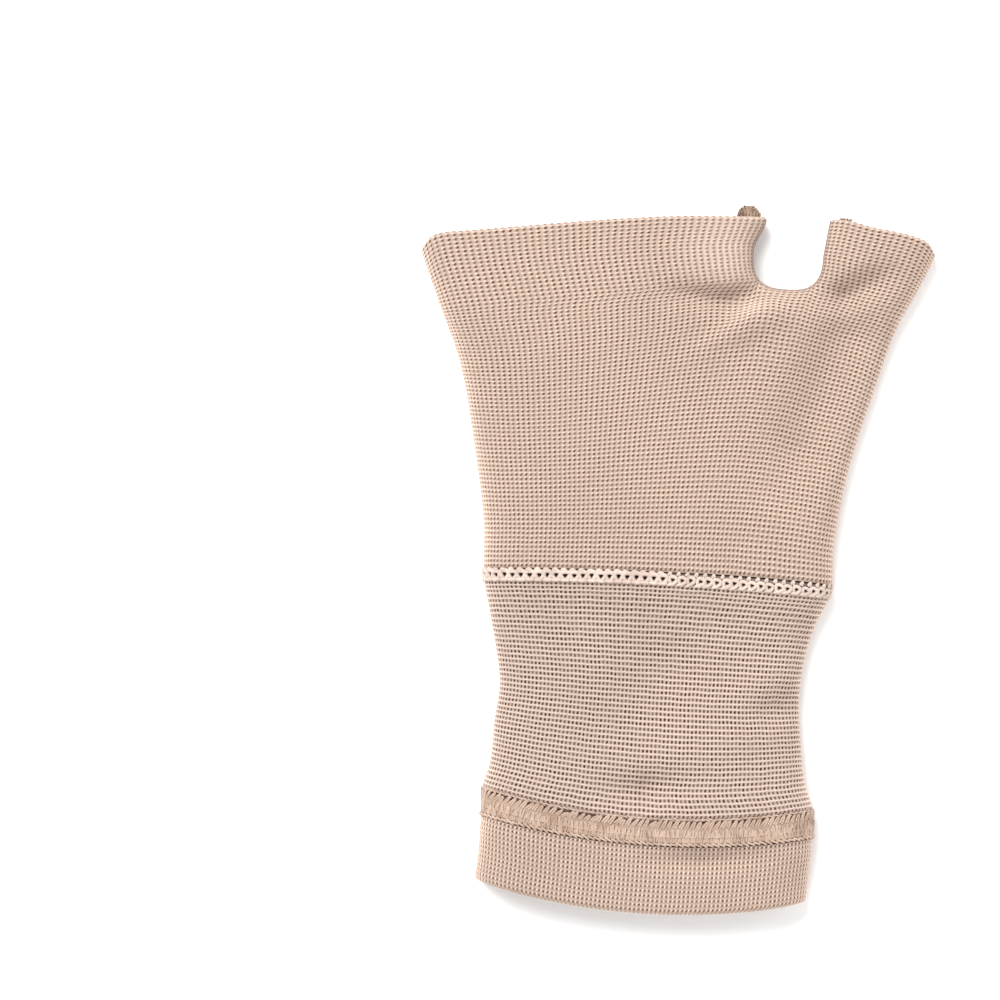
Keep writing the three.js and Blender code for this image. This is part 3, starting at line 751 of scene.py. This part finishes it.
tight = np.arange(TIGHT_COURSES * WRIST_ROW_STEPS) * TIGHT_PITCH / WRIST_ROW_STEPS
loose_start = JOIN_FOOT - TIGHT_COURSES * TIGHT_PITCH
loose_rows = (WRIST_COURSES - TIGHT_COURSES) * WRIST_ROW_STEPS
fall = np.linspace(0, 1, loose_rows, endpoint=False)
fall = fall + COURSE_CLOSE * fall * (1 - fall)
wrist_ys = np.concatenate([
    np.linspace(JOIN_TOP + LAP, JOIN_FOOT + LAP_EASE, WRIST_HIDDEN_ROWS),
    JOIN_FOOT - tight,
    loose_start + (OVERLOCK_TOP - loose_start) * fall,
    np.linspace(OVERLOCK_TOP - OVERLOCK_HANG, OVERLOCK_FOOT, WRIST_HIDDEN_ROWS),
])
wrist_courses = (np.arange(len(wrist_ys)) - WRIST_HIDDEN_ROWS) / WRIST_ROW_STEPS
wrist_profile = [(y, -wrist_inset(y), -course) for y, course in zip(wrist_ys, wrist_courses)]
inner_ys = np.array([OVERLOCK_FOOT, *WRIST_INNER_YS, JOIN_TOP + LAP])
inner_courses = np.round(np.interp(-inner_ys, -wrist_ys, wrist_courses))
wrist_profile += [
    (y, -wrist_inset(y) - WRIST_WALL, -course) for y, course in zip(inner_ys, inner_courses)]


def wrist_relief(wale, course):
    """Depth of the wrist's gaps: a groove beside each course, deeper at each stitch."""
    gaps = WRIST_GROOVE + (1 - WRIST_GROOVE) * np.sin(math.pi * wale) ** 2
    return WRIST_RELIEF * np.sin(math.pi * course) ** 2 * gaps


wrist_pattern = {
    "Gap Width": 0.32, "Gap Height": 0.36, "Slant": -0.1, "Gleam X": 0.1, "Gleam Y": 0.5,
    "Gleam Width": 0.8, "Gleam Height": 0.30, "Unevenness": 0.36,
}
# Light is the painted highlight along the courses, mid the yarn, dark the painted shade in the gaps
wrist_knit = knit_material("wrist knit", yarn(242, 219, 205), yarn(212, 186, 171), yarn(68, 40, 27),
                           wrist_pattern, 0.0002)
wrist_sleeve = ring_cloth(wrist_profile, wrist_relief).make("wrist_sleeve_knit", wrist_knit)
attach(wrist_sleeve, "root")
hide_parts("wrist_sleeve")

# Joining seam
# A raised linking chain of plump cream thread that joins the palm sleeve to the wrist sleeve.
# A row of rings has a rope along its foot and small heads above, over a bed of the same thread.

CHAIN_PITCH = 0.00176
# The chain starts and ends here on the upper layer, and is looser past it
CHAIN_START = 0.0019
CHAIN_ROPE = -0.0060
CHAIN_HEADS = -0.0044
CHAIN_OUT = -0.00015
CHAIN_UNEVEN = 0.15
# Size of loose loops as a share of the others: width, height and thickness
LOOSE_LOOPS = (0.88, 0.88, 0.88)
LOOSE_HEADS = (0.62, 1.15, 0.75)
CHAIN_BED_DROP = 0.00055
CHAIN_BED_FACE = 0.0003
# Loops on the underside are pressed flat against the table below this height
PRESSED = 0.0008
BED_COLUMNS = 328
# Shape of a loop: how full its crown is, and how its two feet are drawn together
CROWN_POWER = 0.6
FOOT_POWER = 0.5
EVEN_LOOP = {"Steps": 10, "Sides": 6, "Pinch": 0.0, "Lean": 0.0}
# Chance in the tilt and the size of uneven loops, and the tilt of loose ones
TILT_SPREAD = 0.35
SIZE_SPREAD = 0.3
LOOSE_TILT = 0.3
# Looks of the thread: its fibres, its patches of tone and the twist of its plies
THREAD_FIBRE_SCALE = 2600.0
THREAD_TONE_SCALE = 420.0
THREAD_TONES = (0.3, 0.65)
PLY_WANDER = 2.5
PLY_RISE = 0.5
PLY_BUMP = 0.00008


def loop_tree():
    """Geometry Nodes tree that sets a thread loop on each point of one row of a seam."""
    tree = bpy.data.node_groups.new("thread loops", "GeometryNodeTree")
    add_sockets(tree, "INPUT", "Geometry", "Geometry")
    add_sockets(tree, "INPUT", "Float", "Row", "Loop Width", "Loop Height", "Thread Radius",
                "Crown Lift", "Lean", "Pinch")
    add_sockets(tree, "INPUT", "Int", "Steps", "Sides")
    add_sockets(tree, "INPUT", "Material", "Material")
    add_sockets(tree, "OUTPUT", "Geometry", "Geometry")
    given = tree.nodes.new("NodeGroupInput").outputs

    share = tree.nodes.new("GeometryNodeSplineParameter").outputs["Factor"]
    angle = calc(tree, "MULTIPLY", share, math.pi)
    rise = calc(tree, "MAXIMUM", calc(tree, "SINE", angle), 0.0)
    up = product(tree, calc(tree, "POWER", rise, CROWN_POWER), given["Loop Height"])
    drawn = calc(tree, "SUBTRACT", 1.0, calc(tree, "POWER", rise, FOOT_POWER))
    spread = calc(tree, "SUBTRACT", 1.0, product(tree, drawn, given["Pinch"]))
    across = product(tree, calc(tree, "COSINE", angle), given["Loop Width"], -0.5, spread)
    across = calc(tree, "ADD", across, product(tree, up, given["Lean"]))
    lift = product(tree, rise, given["Crown Lift"])
    place = node(tree, "ShaderNodeCombineXYZ", {0: across, 1: up, 2: lift}).outputs[0]
    strand = node(tree, "GeometryNodeCurvePrimitiveLine", {"End": (0.0, 0.001, 0.0)}).outputs[0]
    strand = node(tree, "GeometryNodeResampleCurve",
                  {"Curve": strand, "Count": given["Steps"]}).outputs[0]
    strand = node(tree, "GeometryNodeSetPosition", {"Geometry": strand, "Position": place}).outputs[0]
    strand = node(tree, "GeometryNodeStoreNamedAttribute",
                  {"Geometry": strand, "Name": "along", "Value": share}).outputs[0]
    section = node(tree, "GeometryNodeCurvePrimitiveCircle",
                   {"Resolution": given["Sides"], "Radius": given["Thread Radius"]}).outputs[0]
    thread = node(tree, "GeometryNodeCurveToMesh",
                  {"Curve": strand, "Profile Curve": section, "Fill Caps": True}).outputs[0]
    thread = node(tree, "GeometryNodeSetShadeSmooth", {"Geometry": thread}).outputs[0]

    row = node(tree, "GeometryNodeInputNamedAttribute", {"Name": "row"}).outputs[0]
    off = calc(tree, "ABSOLUTE", calc(tree, "SUBTRACT", row, given["Row"]))
    here = calc(tree, "LESS_THAN", off, 0.25)
    parted = node(tree, "GeometryNodeSeparateGeometry",
                  {"Geometry": given["Geometry"], "Selection": here}).outputs
    up_way, out_way, size = (
        node(tree, "GeometryNodeInputNamedAttribute", {"Name": key}, data_type="FLOAT_VECTOR").outputs[0]
        for key in ("across", "outward", "size"))
    turn = node(tree, "FunctionNodeAxesToRotation", {"Primary Axis": up_way, "Secondary Axis": out_way},
                primary_axis="Y", secondary_axis="Z").outputs[0]
    loops = node(tree, "GeometryNodeInstanceOnPoints", {
        "Points": parted["Selection"], "Instance": thread, "Rotation": turn, "Scale": size,
    }).outputs[0]
    joined = tree.nodes.new("GeometryNodeJoinGeometry")
    tree.links.new(parted["Inverted"], joined.inputs[0])
    tree.links.new(loops, joined.inputs[0])
    whole = node(tree, "GeometryNodeRealizeInstances", {"Geometry": joined.outputs[0]}).outputs[0]
    whole = node(tree, "GeometryNodeSetMaterial",
                 {"Geometry": whole, "Material": given["Material"]}).outputs[0]
    node(tree, "NodeGroupOutput", {"Geometry": whole})
    return tree


LOOPS = loop_tree()


def placed_loops(row, places, across, outward, size=1.0):
    """One row of loops: their places, the ways that they stand and face, and their sizes."""
    return {"places": places, "across": across, "outward": outward,
            "size": np.broadcast_to(size, places.shape), "row": np.full(len(places), row)}


def seam_row(row, y, out, pitch, up=1, shift=0.0, turn=0.0, uneven=0.0, loose=None,
             slack=LOOSE_LOOPS, seed=0):
    """Places of one row of loops round the sleeve. up is 1 to the fingers and -1 to the wrist,
    turn tilts the loops in the seam's face, and uneven varies their size and tilt. Past the x
    of loose, on the upper layer, the loops are more uneven and their size is times slack."""
    chance = np.random.default_rng(seed)
    guide = loop_around(y, out, 4 * FINE)
    length = np.linalg.norm(guide - np.roll(guide, 1, axis=0), axis=1).sum()
    count = int(round(length / pitch))
    places = loop_around(y, out, count, shift)
    along = loop_around(y, out, count, shift + 0.2) - loop_around(y, out, count, shift - 0.2)
    outward = np.stack([along[:, 2], np.zeros(count), -along[:, 0]], -1)
    outward /= np.linalg.norm(outward, axis=1, keepdims=True)
    along /= np.linalg.norm(along, axis=1, keepdims=True)
    across = np.cross(along, outward)
    across *= np.sign(across[:, 1:2]) * up
    is_loose = np.zeros(count, bool)
    if loose is not None:
        is_loose = (places[:, 0] > loose) & (outward[:, 2] > 0)
    tilt = turn + uneven * chance.normal(0, TILT_SPREAD, count) * (1 + is_loose)
    tilt -= LOOSE_TILT * up * is_loose
    across = across * np.cos(tilt)[:, None] + np.cross(outward, across) * np.sin(tilt)[:, None]
    size = 1 + uneven * chance.normal(0, SIZE_SPREAD, (count, 3))
    return placed_loops(row, places, across, outward, size * np.where(is_loose[:, None], slack, 1))


def loop_look(width, height, radius, lift, **others):
    """Sizes of the loops of one row: a loop, its thread, and how far its crown stands out."""
    return {"Loop Width": width, "Loop Height": height, "Thread Radius": radius, "Crown Lift": lift,
            **EVEN_LOOP, **others}


def mesh_points(mesh):
    """Places of all the points of a mesh."""
    points = np.zeros(len(mesh.vertices) * 3)
    mesh.vertices.foreach_get("co", points)
    return points.reshape(-1, 3)


def seam_piece(name, bed, rows, looks, material):
    """A seam: a bed of cloth faces, and the loops of each row made by the tree and fused to it."""
    piece = bed.make(name, material)
    mesh = piece.data
    bed_points = mesh_points(mesh)
    mesh.vertices.add(sum(len(row["row"]) for row in rows))
    places = np.concatenate([bed_points, *(row["places"] for row in rows)])
    mesh.vertices.foreach_set("co", places.ravel())
    for key in ("across", "outward", "size"):
        values = np.concatenate([np.zeros_like(bed_points), *(row[key] for row in rows)])
        mesh.attributes.new(key, "FLOAT_VECTOR", "POINT").data.foreach_set("vector", values.ravel())
    values = np.concatenate([np.zeros(len(bed_points)), *(row["row"] for row in rows)])
    mesh.attributes.new("row", "FLOAT", "POINT").data.foreach_set("value", values)
    sockets = {s.name: s.identifier for s in LOOPS.interface.items_tree if s.in_out == "INPUT"}
    for row, look in looks.items():
        modifier = piece.modifiers.new(f"loops {row}", "NODES")
        modifier.node_group = LOOPS
        settings = {"Row": float(row), "Material": material, **look}
        for key, value in settings.items():
            modifier[sockets[key]] = value
    made = bpy.data.meshes.new_from_object(piece.evaluated_get(bpy.context.evaluated_depsgraph_get()))
    piece.modifiers.clear()
    piece.data = made
    made.name = name
    points = mesh_points(made)
    lowest = points[:, 2].min()
    near_table = points[:, 2] < PRESSED
    pressed = PRESSED * (points[:, 2] - lowest) / (PRESSED - lowest)
    points[:, 2] = np.where(near_table, pressed, points[:, 2])
    made.vertices.foreach_set("co", points.ravel())
    made.update()
    return piece


def ring_bed(profile):
    """A plain closed ring of thread through (y, out, hollow) rows, hollow being how deep it is
    in shadow, from 0 to 1."""
    cloth = Cloth()
    numbers = cloth.add_points(np.stack([loop_around(y, out, BED_COLUMNS) for y, out, _ in profile]))
    numbers = np.concatenate([numbers, numbers[:, :1]], axis=1)
    numbers = np.concatenate([numbers, numbers[:1]])
    hollows = [hollow for _, _, hollow in profile]
    stitches = stitch_grid(np.arange(numbers.shape[1]), hollows + hollows[:1])
    cloth.add_faces(numbers, stitches)
    return cloth


def thread_group():
    """Shader group for sewing thread: the twist of its plies, and the shadow in its bed."""
    group = bpy.data.node_groups.new("sewing thread", "ShaderNodeTree")
    add_sockets(group, "INPUT", "Float", "Turns")
    add_sockets(group, "OUTPUT", "Float", "Bed", "Height", "Tone")
    given = group.nodes.new("NodeGroupInput").outputs
    place = node(group, "ShaderNodeTexCoord").outputs["Object"]
    fibre = noise(group, place, THREAD_FIBRE_SCALE)["Fac"]
    tone = noise(group, place, THREAD_TONE_SCALE)["Fac"]
    twist = product(group, stored(group, "along"), given["Turns"], 2 * math.pi)
    ply = calc(group, "SINE", calc(group, "MULTIPLY_ADD", fibre, PLY_WANDER, twist))
    height = calc(group, "MULTIPLY_ADD", ply, PLY_RISE, fibre)
    hollow = node(group, "ShaderNodeUVMap", uv_map="stitches").outputs["UV"]
    bed = node(group, "ShaderNodeSeparateXYZ", {0: hollow}).outputs["Y"]
    node(group, "NodeGroupOutput", {"Bed": bed, "Height": height, "Tone": tone})
    return group


THREAD = thread_group()


def thread_material(name, light, mid, dark, turns, roughness):
    """Soft sewing thread, with painted shadow in the bed under its loops."""
    material, tree, surface = new_material(name)
    thread = node(tree, "ShaderNodeGroup", {"Turns": turns}, node_tree=THREAD).outputs
    colour = mixed(tree, eased(tree, thread["Tone"], *THREAD_TONES), mid, light)
    colour = mixed(tree, thread["Bed"], colour, dark)
    plies = {"Height": thread["Height"], "Strength": 0.5, "Distance": PLY_BUMP}
    set_inputs(surface, {
        "Base Color": colour, "Normal": node(tree, "ShaderNodeBump", plies).outputs["Normal"],
        "Roughness": roughness, "Specular IOR Level": 0.3, "Sheen Weight": 0.1,
    })
    return material


# Each row's third value is how far it is painted into shadow, toward the thread's dark colour
chain_bed = ring_bed([
    (PALM_HEM - 0.0001, -PALM_WALL, 0.4),
    (PALM_HEM - 0.0001, -CHAIN_BED_DROP, 0.55),
    (PALM_HEM - 0.0005, -CHAIN_BED_FACE, 0.65),
    (PALM_HEM - 0.0009, -CHAIN_BED_FACE, 1.0),
    (JOIN_TOP - 0.0016, -CHAIN_BED_FACE, 1.0),
    (JOIN_TOP - 0.0020, -0.0002, 0.5),
    (JOIN_FOOT + LAP_EASE + 0.0001, -0.0001, 0.1),
    (JOIN_FOOT + LAP_EASE, -CHAIN_BED_DROP, 0.2),
    (JOIN_FOOT + LAP_EASE, -PALM_WALL, 0.5),
])
chain_thread = thread_material("chain thread", yarn(243, 222, 209), yarn(225, 201, 187),
                               yarn(40, 22, 15), 5, 0.85)
chain_way = {"uneven": CHAIN_UNEVEN, "loose": CHAIN_START}
joining_seam = seam_piece("joining_seam_chain", chain_bed, [
    seam_row(1, JOIN_FOOT, CHAIN_OUT, CHAIN_PITCH, seed=11, **chain_way),
    seam_row(2, CHAIN_ROPE, CHAIN_OUT, CHAIN_PITCH, up=-1, seed=12, **chain_way),
    seam_row(3, CHAIN_HEADS, CHAIN_OUT, CHAIN_PITCH, slack=LOOSE_HEADS, seed=13, **chain_way),
], {
    1: loop_look(0.0027, 0.0020, 0.00044, 0.0003, Pinch=1.0, Steps=11, Sides=7),
    2: loop_look(0.0015, 0.00020, 0.00036, 0.0002),
    3: loop_look(0.0007, 0.00035, 0.00042, 0.0002, Steps=7),
}, chain_thread)
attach(joining_seam, "root")
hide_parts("joining_seam")

# Cuff
# A doubled band of finer knit round the wrist opening, folded round at its hem. Its top edge
# is tucked under the overlocked seam.

CUFF_WALL = 0.0023
CUFF_TOP = OVERLOCK_FOOT - GAP
CUFF_HEM = -0.0670
CUFF_TUCK = 0.0002
CUFF_TUCK_RUN = 0.0023
CUFF_COURSE = 0.00092
CUFF_ROW_STEPS = 3
CUFF_RELIEF = 0.00022
HEM_ROUND = CUFF_WALL / 2
HEM_STEPS = 12

cuff_line = [
    (CUFF_TOP, -CUFF_TUCK),
    (CUFF_TOP - CUFF_TUCK_RUN / 2, -CUFF_TUCK / 2),
    (CUFF_TOP - CUFF_TUCK_RUN, 0.0),
]
for angle in np.linspace(0, math.pi, HEM_STEPS + 1):
    cuff_line.append((CUFF_HEM + HEM_ROUND * (1 - math.sin(angle)), HEM_ROUND * (math.cos(angle) - 1)))
cuff_line.append((CUFF_TOP, -CUFF_TUCK - CUFF_WALL))
cuff_line = np.array(cuff_line)
cuff_length = np.linalg.norm(np.diff(cuff_line, axis=0), axis=1).sum()
cuff_rows = int(round(cuff_length / CUFF_COURSE)) * CUFF_ROW_STEPS
cuff_profile = [(y, out, -k / CUFF_ROW_STEPS) for k, (y, out) in
                enumerate(respaced(cuff_line, np.linspace(0, 1, cuff_rows + 1)))]


def cuff_relief(wale, course):
    """Depth of the cuff's gaps: one small dimple for each stitch."""
    return CUFF_RELIEF * np.sin(math.pi * course) ** 2 * np.abs(np.sin(math.pi * wale)) ** 3


cuff_pattern = {
    "Gap Width": 0.26, "Gap Height": 0.29, "Slant": -0.16, "Gleam X": -0.45, "Gleam Y": 0.12,
    "Gleam Width": 0.30, "Gleam Height": 0.42, "Unevenness": 0.30,
}
# Light is the painted highlight of the gleams, mid the yarn, dark the painted shade in the gaps
cuff_knit = knit_material("cuff knit", yarn(252, 228, 212), yarn(206, 179, 162), yarn(108, 77, 60),
                          cuff_pattern, 0.00018)
cuff = ring_cloth(cuff_profile, cuff_relief).make("cuff_knit", cuff_knit)
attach(cuff, "root")
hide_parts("cuff")

# Cuff seam
# The overlocked seam allowance of cuff and wrist sleeve, turned up against the sleeve. Tan
# thread loops lean over its cut edge, and a rope of needle stitches runs along its foot.

OVERLOCK_ROUND = 0.0008
OVERLOCK_PITCH = 0.00118
FILLING_PITCH = OVERLOCK_PITCH / 2.5
OVERLOCK_BED_DROP = 0.00035
OVERLOCK_BED_FACE = 0.00022
ROPE_RISE = 0.0006
# Each row's third value is how far it is painted into shadow, toward the thread's dark colour
overlock_bed = ring_bed([
    (OVERLOCK_TOP - OVERLOCK_HANG, -OVERLOCK_THICK, 0.8),
    (OVERLOCK_TOP - OVERLOCK_HANG, -OVERLOCK_ROUND, 0.8),
    (OVERLOCK_TOP - OVERLOCK_ROUND, -OVERLOCK_BED_DROP, 0.7),
    (OVERLOCK_TOP - 0.0013, -0.00028, 0.5),
    (OVERLOCK_TOP - 0.0018, -OVERLOCK_BED_FACE, 0.25),
    (OVERLOCK_FOOT + 0.0009, -OVERLOCK_BED_FACE, 0.25),
    (OVERLOCK_FOOT + ROPE_RISE, -0.00026, 0.5),
    (OVERLOCK_FOOT, -0.0004, 0.2),
    (OVERLOCK_FOOT, -OVERLOCK_THICK, 0.5),
])
overlock_thread = thread_material("overlock thread", yarn(226, 197, 177), yarn(204, 174, 153),
                                  yarn(70, 44, 31), 9, 0.88)
# Loops that lean over the edge, two rows of filling, the rope at the foot and a thread on the edge
cuff_seam = seam_piece("cuff_seam_overlock", overlock_bed, [
    seam_row(1, OVERLOCK_TOP - 0.0017, -0.00028, OVERLOCK_PITCH, turn=-0.45, uneven=0.36, seed=21),
    seam_row(2, OVERLOCK_FOOT + ROPE_RISE, -0.00020, FILLING_PITCH, uneven=0.7, seed=22),
    seam_row(2, OVERLOCK_FOOT + 0.0017, -0.00018, FILLING_PITCH, shift=0.5, uneven=0.7, seed=24),
    seam_row(3, OVERLOCK_FOOT + 0.0001, -0.00018, OVERLOCK_PITCH, turn=-0.35, uneven=0.2, seed=23),
    seam_row(4, OVERLOCK_TOP - 0.0001, -0.00012, OVERLOCK_PITCH, shift=0.3, turn=-0.2, uneven=0.3,
             seed=25),
], {
    1: loop_look(0.00042, 0.0016, 0.00022, 0.00010, Lean=0.1),
    2: loop_look(0.00016, 0.0014, 0.00016, 0.00010, Steps=7, Sides=5),
    3: loop_look(0.00140, 0.0001, 0.00025, 0.00022),
    4: loop_look(0.00140, 0.0001, 0.00017, 0.00012, Steps=9),
}, overlock_thread)
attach(cuff_seam, "root")
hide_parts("cuff_seam")

# Thumb web seam
# A bound edge along the U between fingers and thumb, turned to the inside of the sleeve. Tan
# thread is wrapped round it, and its two ends stand a little past the rims.

BINDING_INSET = 0.0029
BINDING_RADIUS = 0.00105
BINDING_SIDES = 16
# The whole binding is painted this far into the thread's dark colour, as shade inside the rims
BINDING_HOLLOW = 0.7
WRAP_PITCH = 0.00055
# The seam's two ends: distance past the end of the U, and half width there
FINGER_TAIL = ((-0.0006, 0.0020), (0.0004, 0.0022), (0.0010, 0.0020), (0.0015, 0.0015), (0.0019, 0.0008))
FINGER_TAIL_LEAN = -0.0009
THUMB_TAIL = ((-0.0006, 0.00105), (0.0003, 0.0013), (0.0007, 0.0008))
# Thread ends bunched over them: their spacing, tilt and least share of the binding's height
TAIL_PITCH = 0.00058
TAIL_ROW_PITCH = TAIL_PITCH * 0.7
TAIL_TILT = 0.15
TAIL_TILT_SPREAD = 0.25
TAIL_LEAST = 0.1

binding_line = web_line()
heading = np.gradient(binding_line, axis=0)
heading /= np.linalg.norm(heading, axis=1, keepdims=True)
binding_side = np.stack([heading[:, 1], -heading[:, 0]], -1)
binding_middle = binding_line + binding_side * BINDING_INSET
stations = [(binding_middle[0] + (FINGER_TAIL_LEAN, past), binding_side[0], half)
            for past, half in FINGER_TAIL[::-1]]
stations += [(middle, side, BINDING_RADIUS) for middle, side in zip(binding_middle[::2], binding_side[::2])]
stations += [(binding_middle[-1] + (0, past), binding_side[-1], half) for past, half in THUMB_TAIL]
angles = np.linspace(0, 2 * math.pi, BINDING_SIDES + 1)
tube = []
for middle, side, half in stations:
    thick = min(half, BINDING_RADIUS)
    plan = middle + side * (half * np.cos(angles))[:, None]
    tube.append(np.concatenate([plan, UNDER_FOLD + thick * np.sin(angles)[:, None]], axis=1))
first_tip, last_tip = (np.tile(tube[end].mean(axis=0), (BINDING_SIDES + 1, 1)) for end in (0, -1))
tube = np.stack([first_tip, *tube, last_tip])
binding = Cloth()
numbers = binding.add_points(tube)
numbers[:, -1] = numbers[:, 0]
hollows = np.full(len(tube), BINDING_HOLLOW)
binding.add_faces(numbers, stitch_grid(np.zeros(BINDING_SIDES + 1), hollows), flip=True)
# The darker mid colour is painted shade too
binding_thread = thread_material("binding thread", yarn(206, 177, 156), yarn(128, 98, 82),
                                 yarn(92, 64, 50), 6, 0.88)

web_route = np.concatenate([binding_middle, np.full((len(binding_middle), 1), UNDER_FOLD)], axis=1)
wrap_count = int(np.linalg.norm(np.diff(web_route, axis=0), axis=1).sum() / WRAP_PITCH)
wrap_places = respaced(web_route, (np.arange(wrap_count) + 0.5) / wrap_count)
wrap_along = np.gradient(wrap_places, axis=0)
wrap_along /= np.linalg.norm(wrap_along, axis=1, keepdims=True)
wraps = []
for row, face in ((1, 1.0), (2, -1.0)):
    wraps.append(placed_loops(row, wrap_places, wrap_along, np.tile((0.0, 0.0, face), (wrap_count, 1))))

tail_chance = np.random.default_rng(31)
tail_places, tail_faces = [], []
for end, lean, tail in ((0, FINGER_TAIL_LEAN, FINGER_TAIL), (-1, 0.0, THUMB_TAIL)):
    tail_start = np.array([*binding_middle[end], UNDER_FOLD]) + (lean, 0, 0)
    tail_past, tail_half = np.array(tail).T
    for past in np.arange(tail_past[0], tail_past[-1], TAIL_ROW_PITCH):
        half = np.interp(past, tail_past, tail_half)
        for aside in np.arange(-half, half, TAIL_PITCH) + TAIL_PITCH * tail_chance.uniform(0.2, 0.8):
            for face in (1.0, -1.0):
                thick = BINDING_RADIUS * math.sqrt(max(1 - (aside / half) ** 2, TAIL_LEAST))
                tail_places.append(tail_start + (aside, past, face * thick))
                tail_faces.append((0.0, 0.0, face))
tail_count = len(tail_places)
tail_tilt = tail_chance.normal(TAIL_TILT, TAIL_TILT_SPREAD, tail_count)
tail_along = np.stack([tail_tilt, np.ones(tail_count), np.zeros(tail_count)], -1)
tail_along /= np.linalg.norm(tail_along, axis=1, keepdims=True)
wraps.append(placed_loops(3, np.array(tail_places), tail_along, np.array(tail_faces)))

wrap_look = loop_look(0.0022, 0.0001, 0.00026, 0.00112)
tail_look = loop_look(0.00024, 0.00046, 0.00016, 0.00012)
thumb_web_seam = seam_piece("thumb_web_binding", binding, wraps,
                            {1: wrap_look, 2: wrap_look, 3: tail_look}, binding_thread)
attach(thumb_web_seam, "root")
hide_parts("thumb_web_seam")

# Floor, light and camera
# A plain near-white table top, three large soft lights and a pale room, seen straight from above.

FLOOR_HALF = 2.0
FLOOR_WHITE = (0.97, 0.97, 0.97, 1.0)
ROOM_WHITE = (1.0, 1.0, 1.0, 1.0)
ROOM_STRENGTH = 0.64
VIEW_CENTRE = (-0.03216, 0.00926)
VIEW_SPAN = 0.200
VIEW_HEIGHT = 2.5
VIEW_LEVEL = 0.005
VIEW_TURN = math.radians(4.0)

floor_mesh = bpy.data.meshes.new("floor")
corners = [(x * FLOOR_HALF, y * FLOOR_HALF, 0) for x, y in ((-1, -1), (1, -1), (1, 1), (-1, 1))]
floor_mesh.from_pydata(corners, [], [(0, 1, 2, 3)])
floor = bpy.data.objects.new("floor", floor_mesh)
bpy.context.scene.collection.objects.link(floor)
table_top, _, table_surface = new_material("table top")
set_inputs(table_surface, {"Base Color": FLOOR_WHITE, "Roughness": 0.9, "Specular IOR Level": 0.1})
floor_mesh.materials.append(table_top)


def soft_light(name, place, size, power):
    """A square area light that faces the middle of the brace."""
    light = bpy.data.lights.new(name, "AREA")
    light.size = size
    light.energy = power
    lamp = bpy.data.objects.new(name, light)
    lamp.location = place
    lamp.rotation_euler = (-lamp.location).to_track_quat("-Z", "Y").to_euler()
    bpy.context.scene.collection.objects.link(lamp)


soft_light("key light", (-0.7, 0.95, 1.2), 1.2, 49)
soft_light("right light", (1.2, 0.2, 0.25), 1.0, 14)
soft_light("near light", (-0.2, -1.2, 0.4), 1.0, 9)
room = bpy.data.worlds.new("room")
room.use_nodes = True
set_inputs(room.node_tree.nodes["Background"], {"Color": ROOM_WHITE, "Strength": ROOM_STRENGTH})
bpy.context.scene.world = room

camera = bpy.data.objects.new("camera", bpy.data.cameras.new("camera"))
camera.data.lens = camera.data.sensor_width * (VIEW_HEIGHT - VIEW_LEVEL) / VIEW_SPAN
camera.location = (*VIEW_CENTRE, VIEW_HEIGHT)
camera.rotation_euler = (0, 0, VIEW_TURN)
camera.data.clip_end = 100
bpy.context.scene.collection.objects.link(camera)
bpy.context.scene.camera = camera
bpy.context.scene.view_settings.view_transform = "Standard"
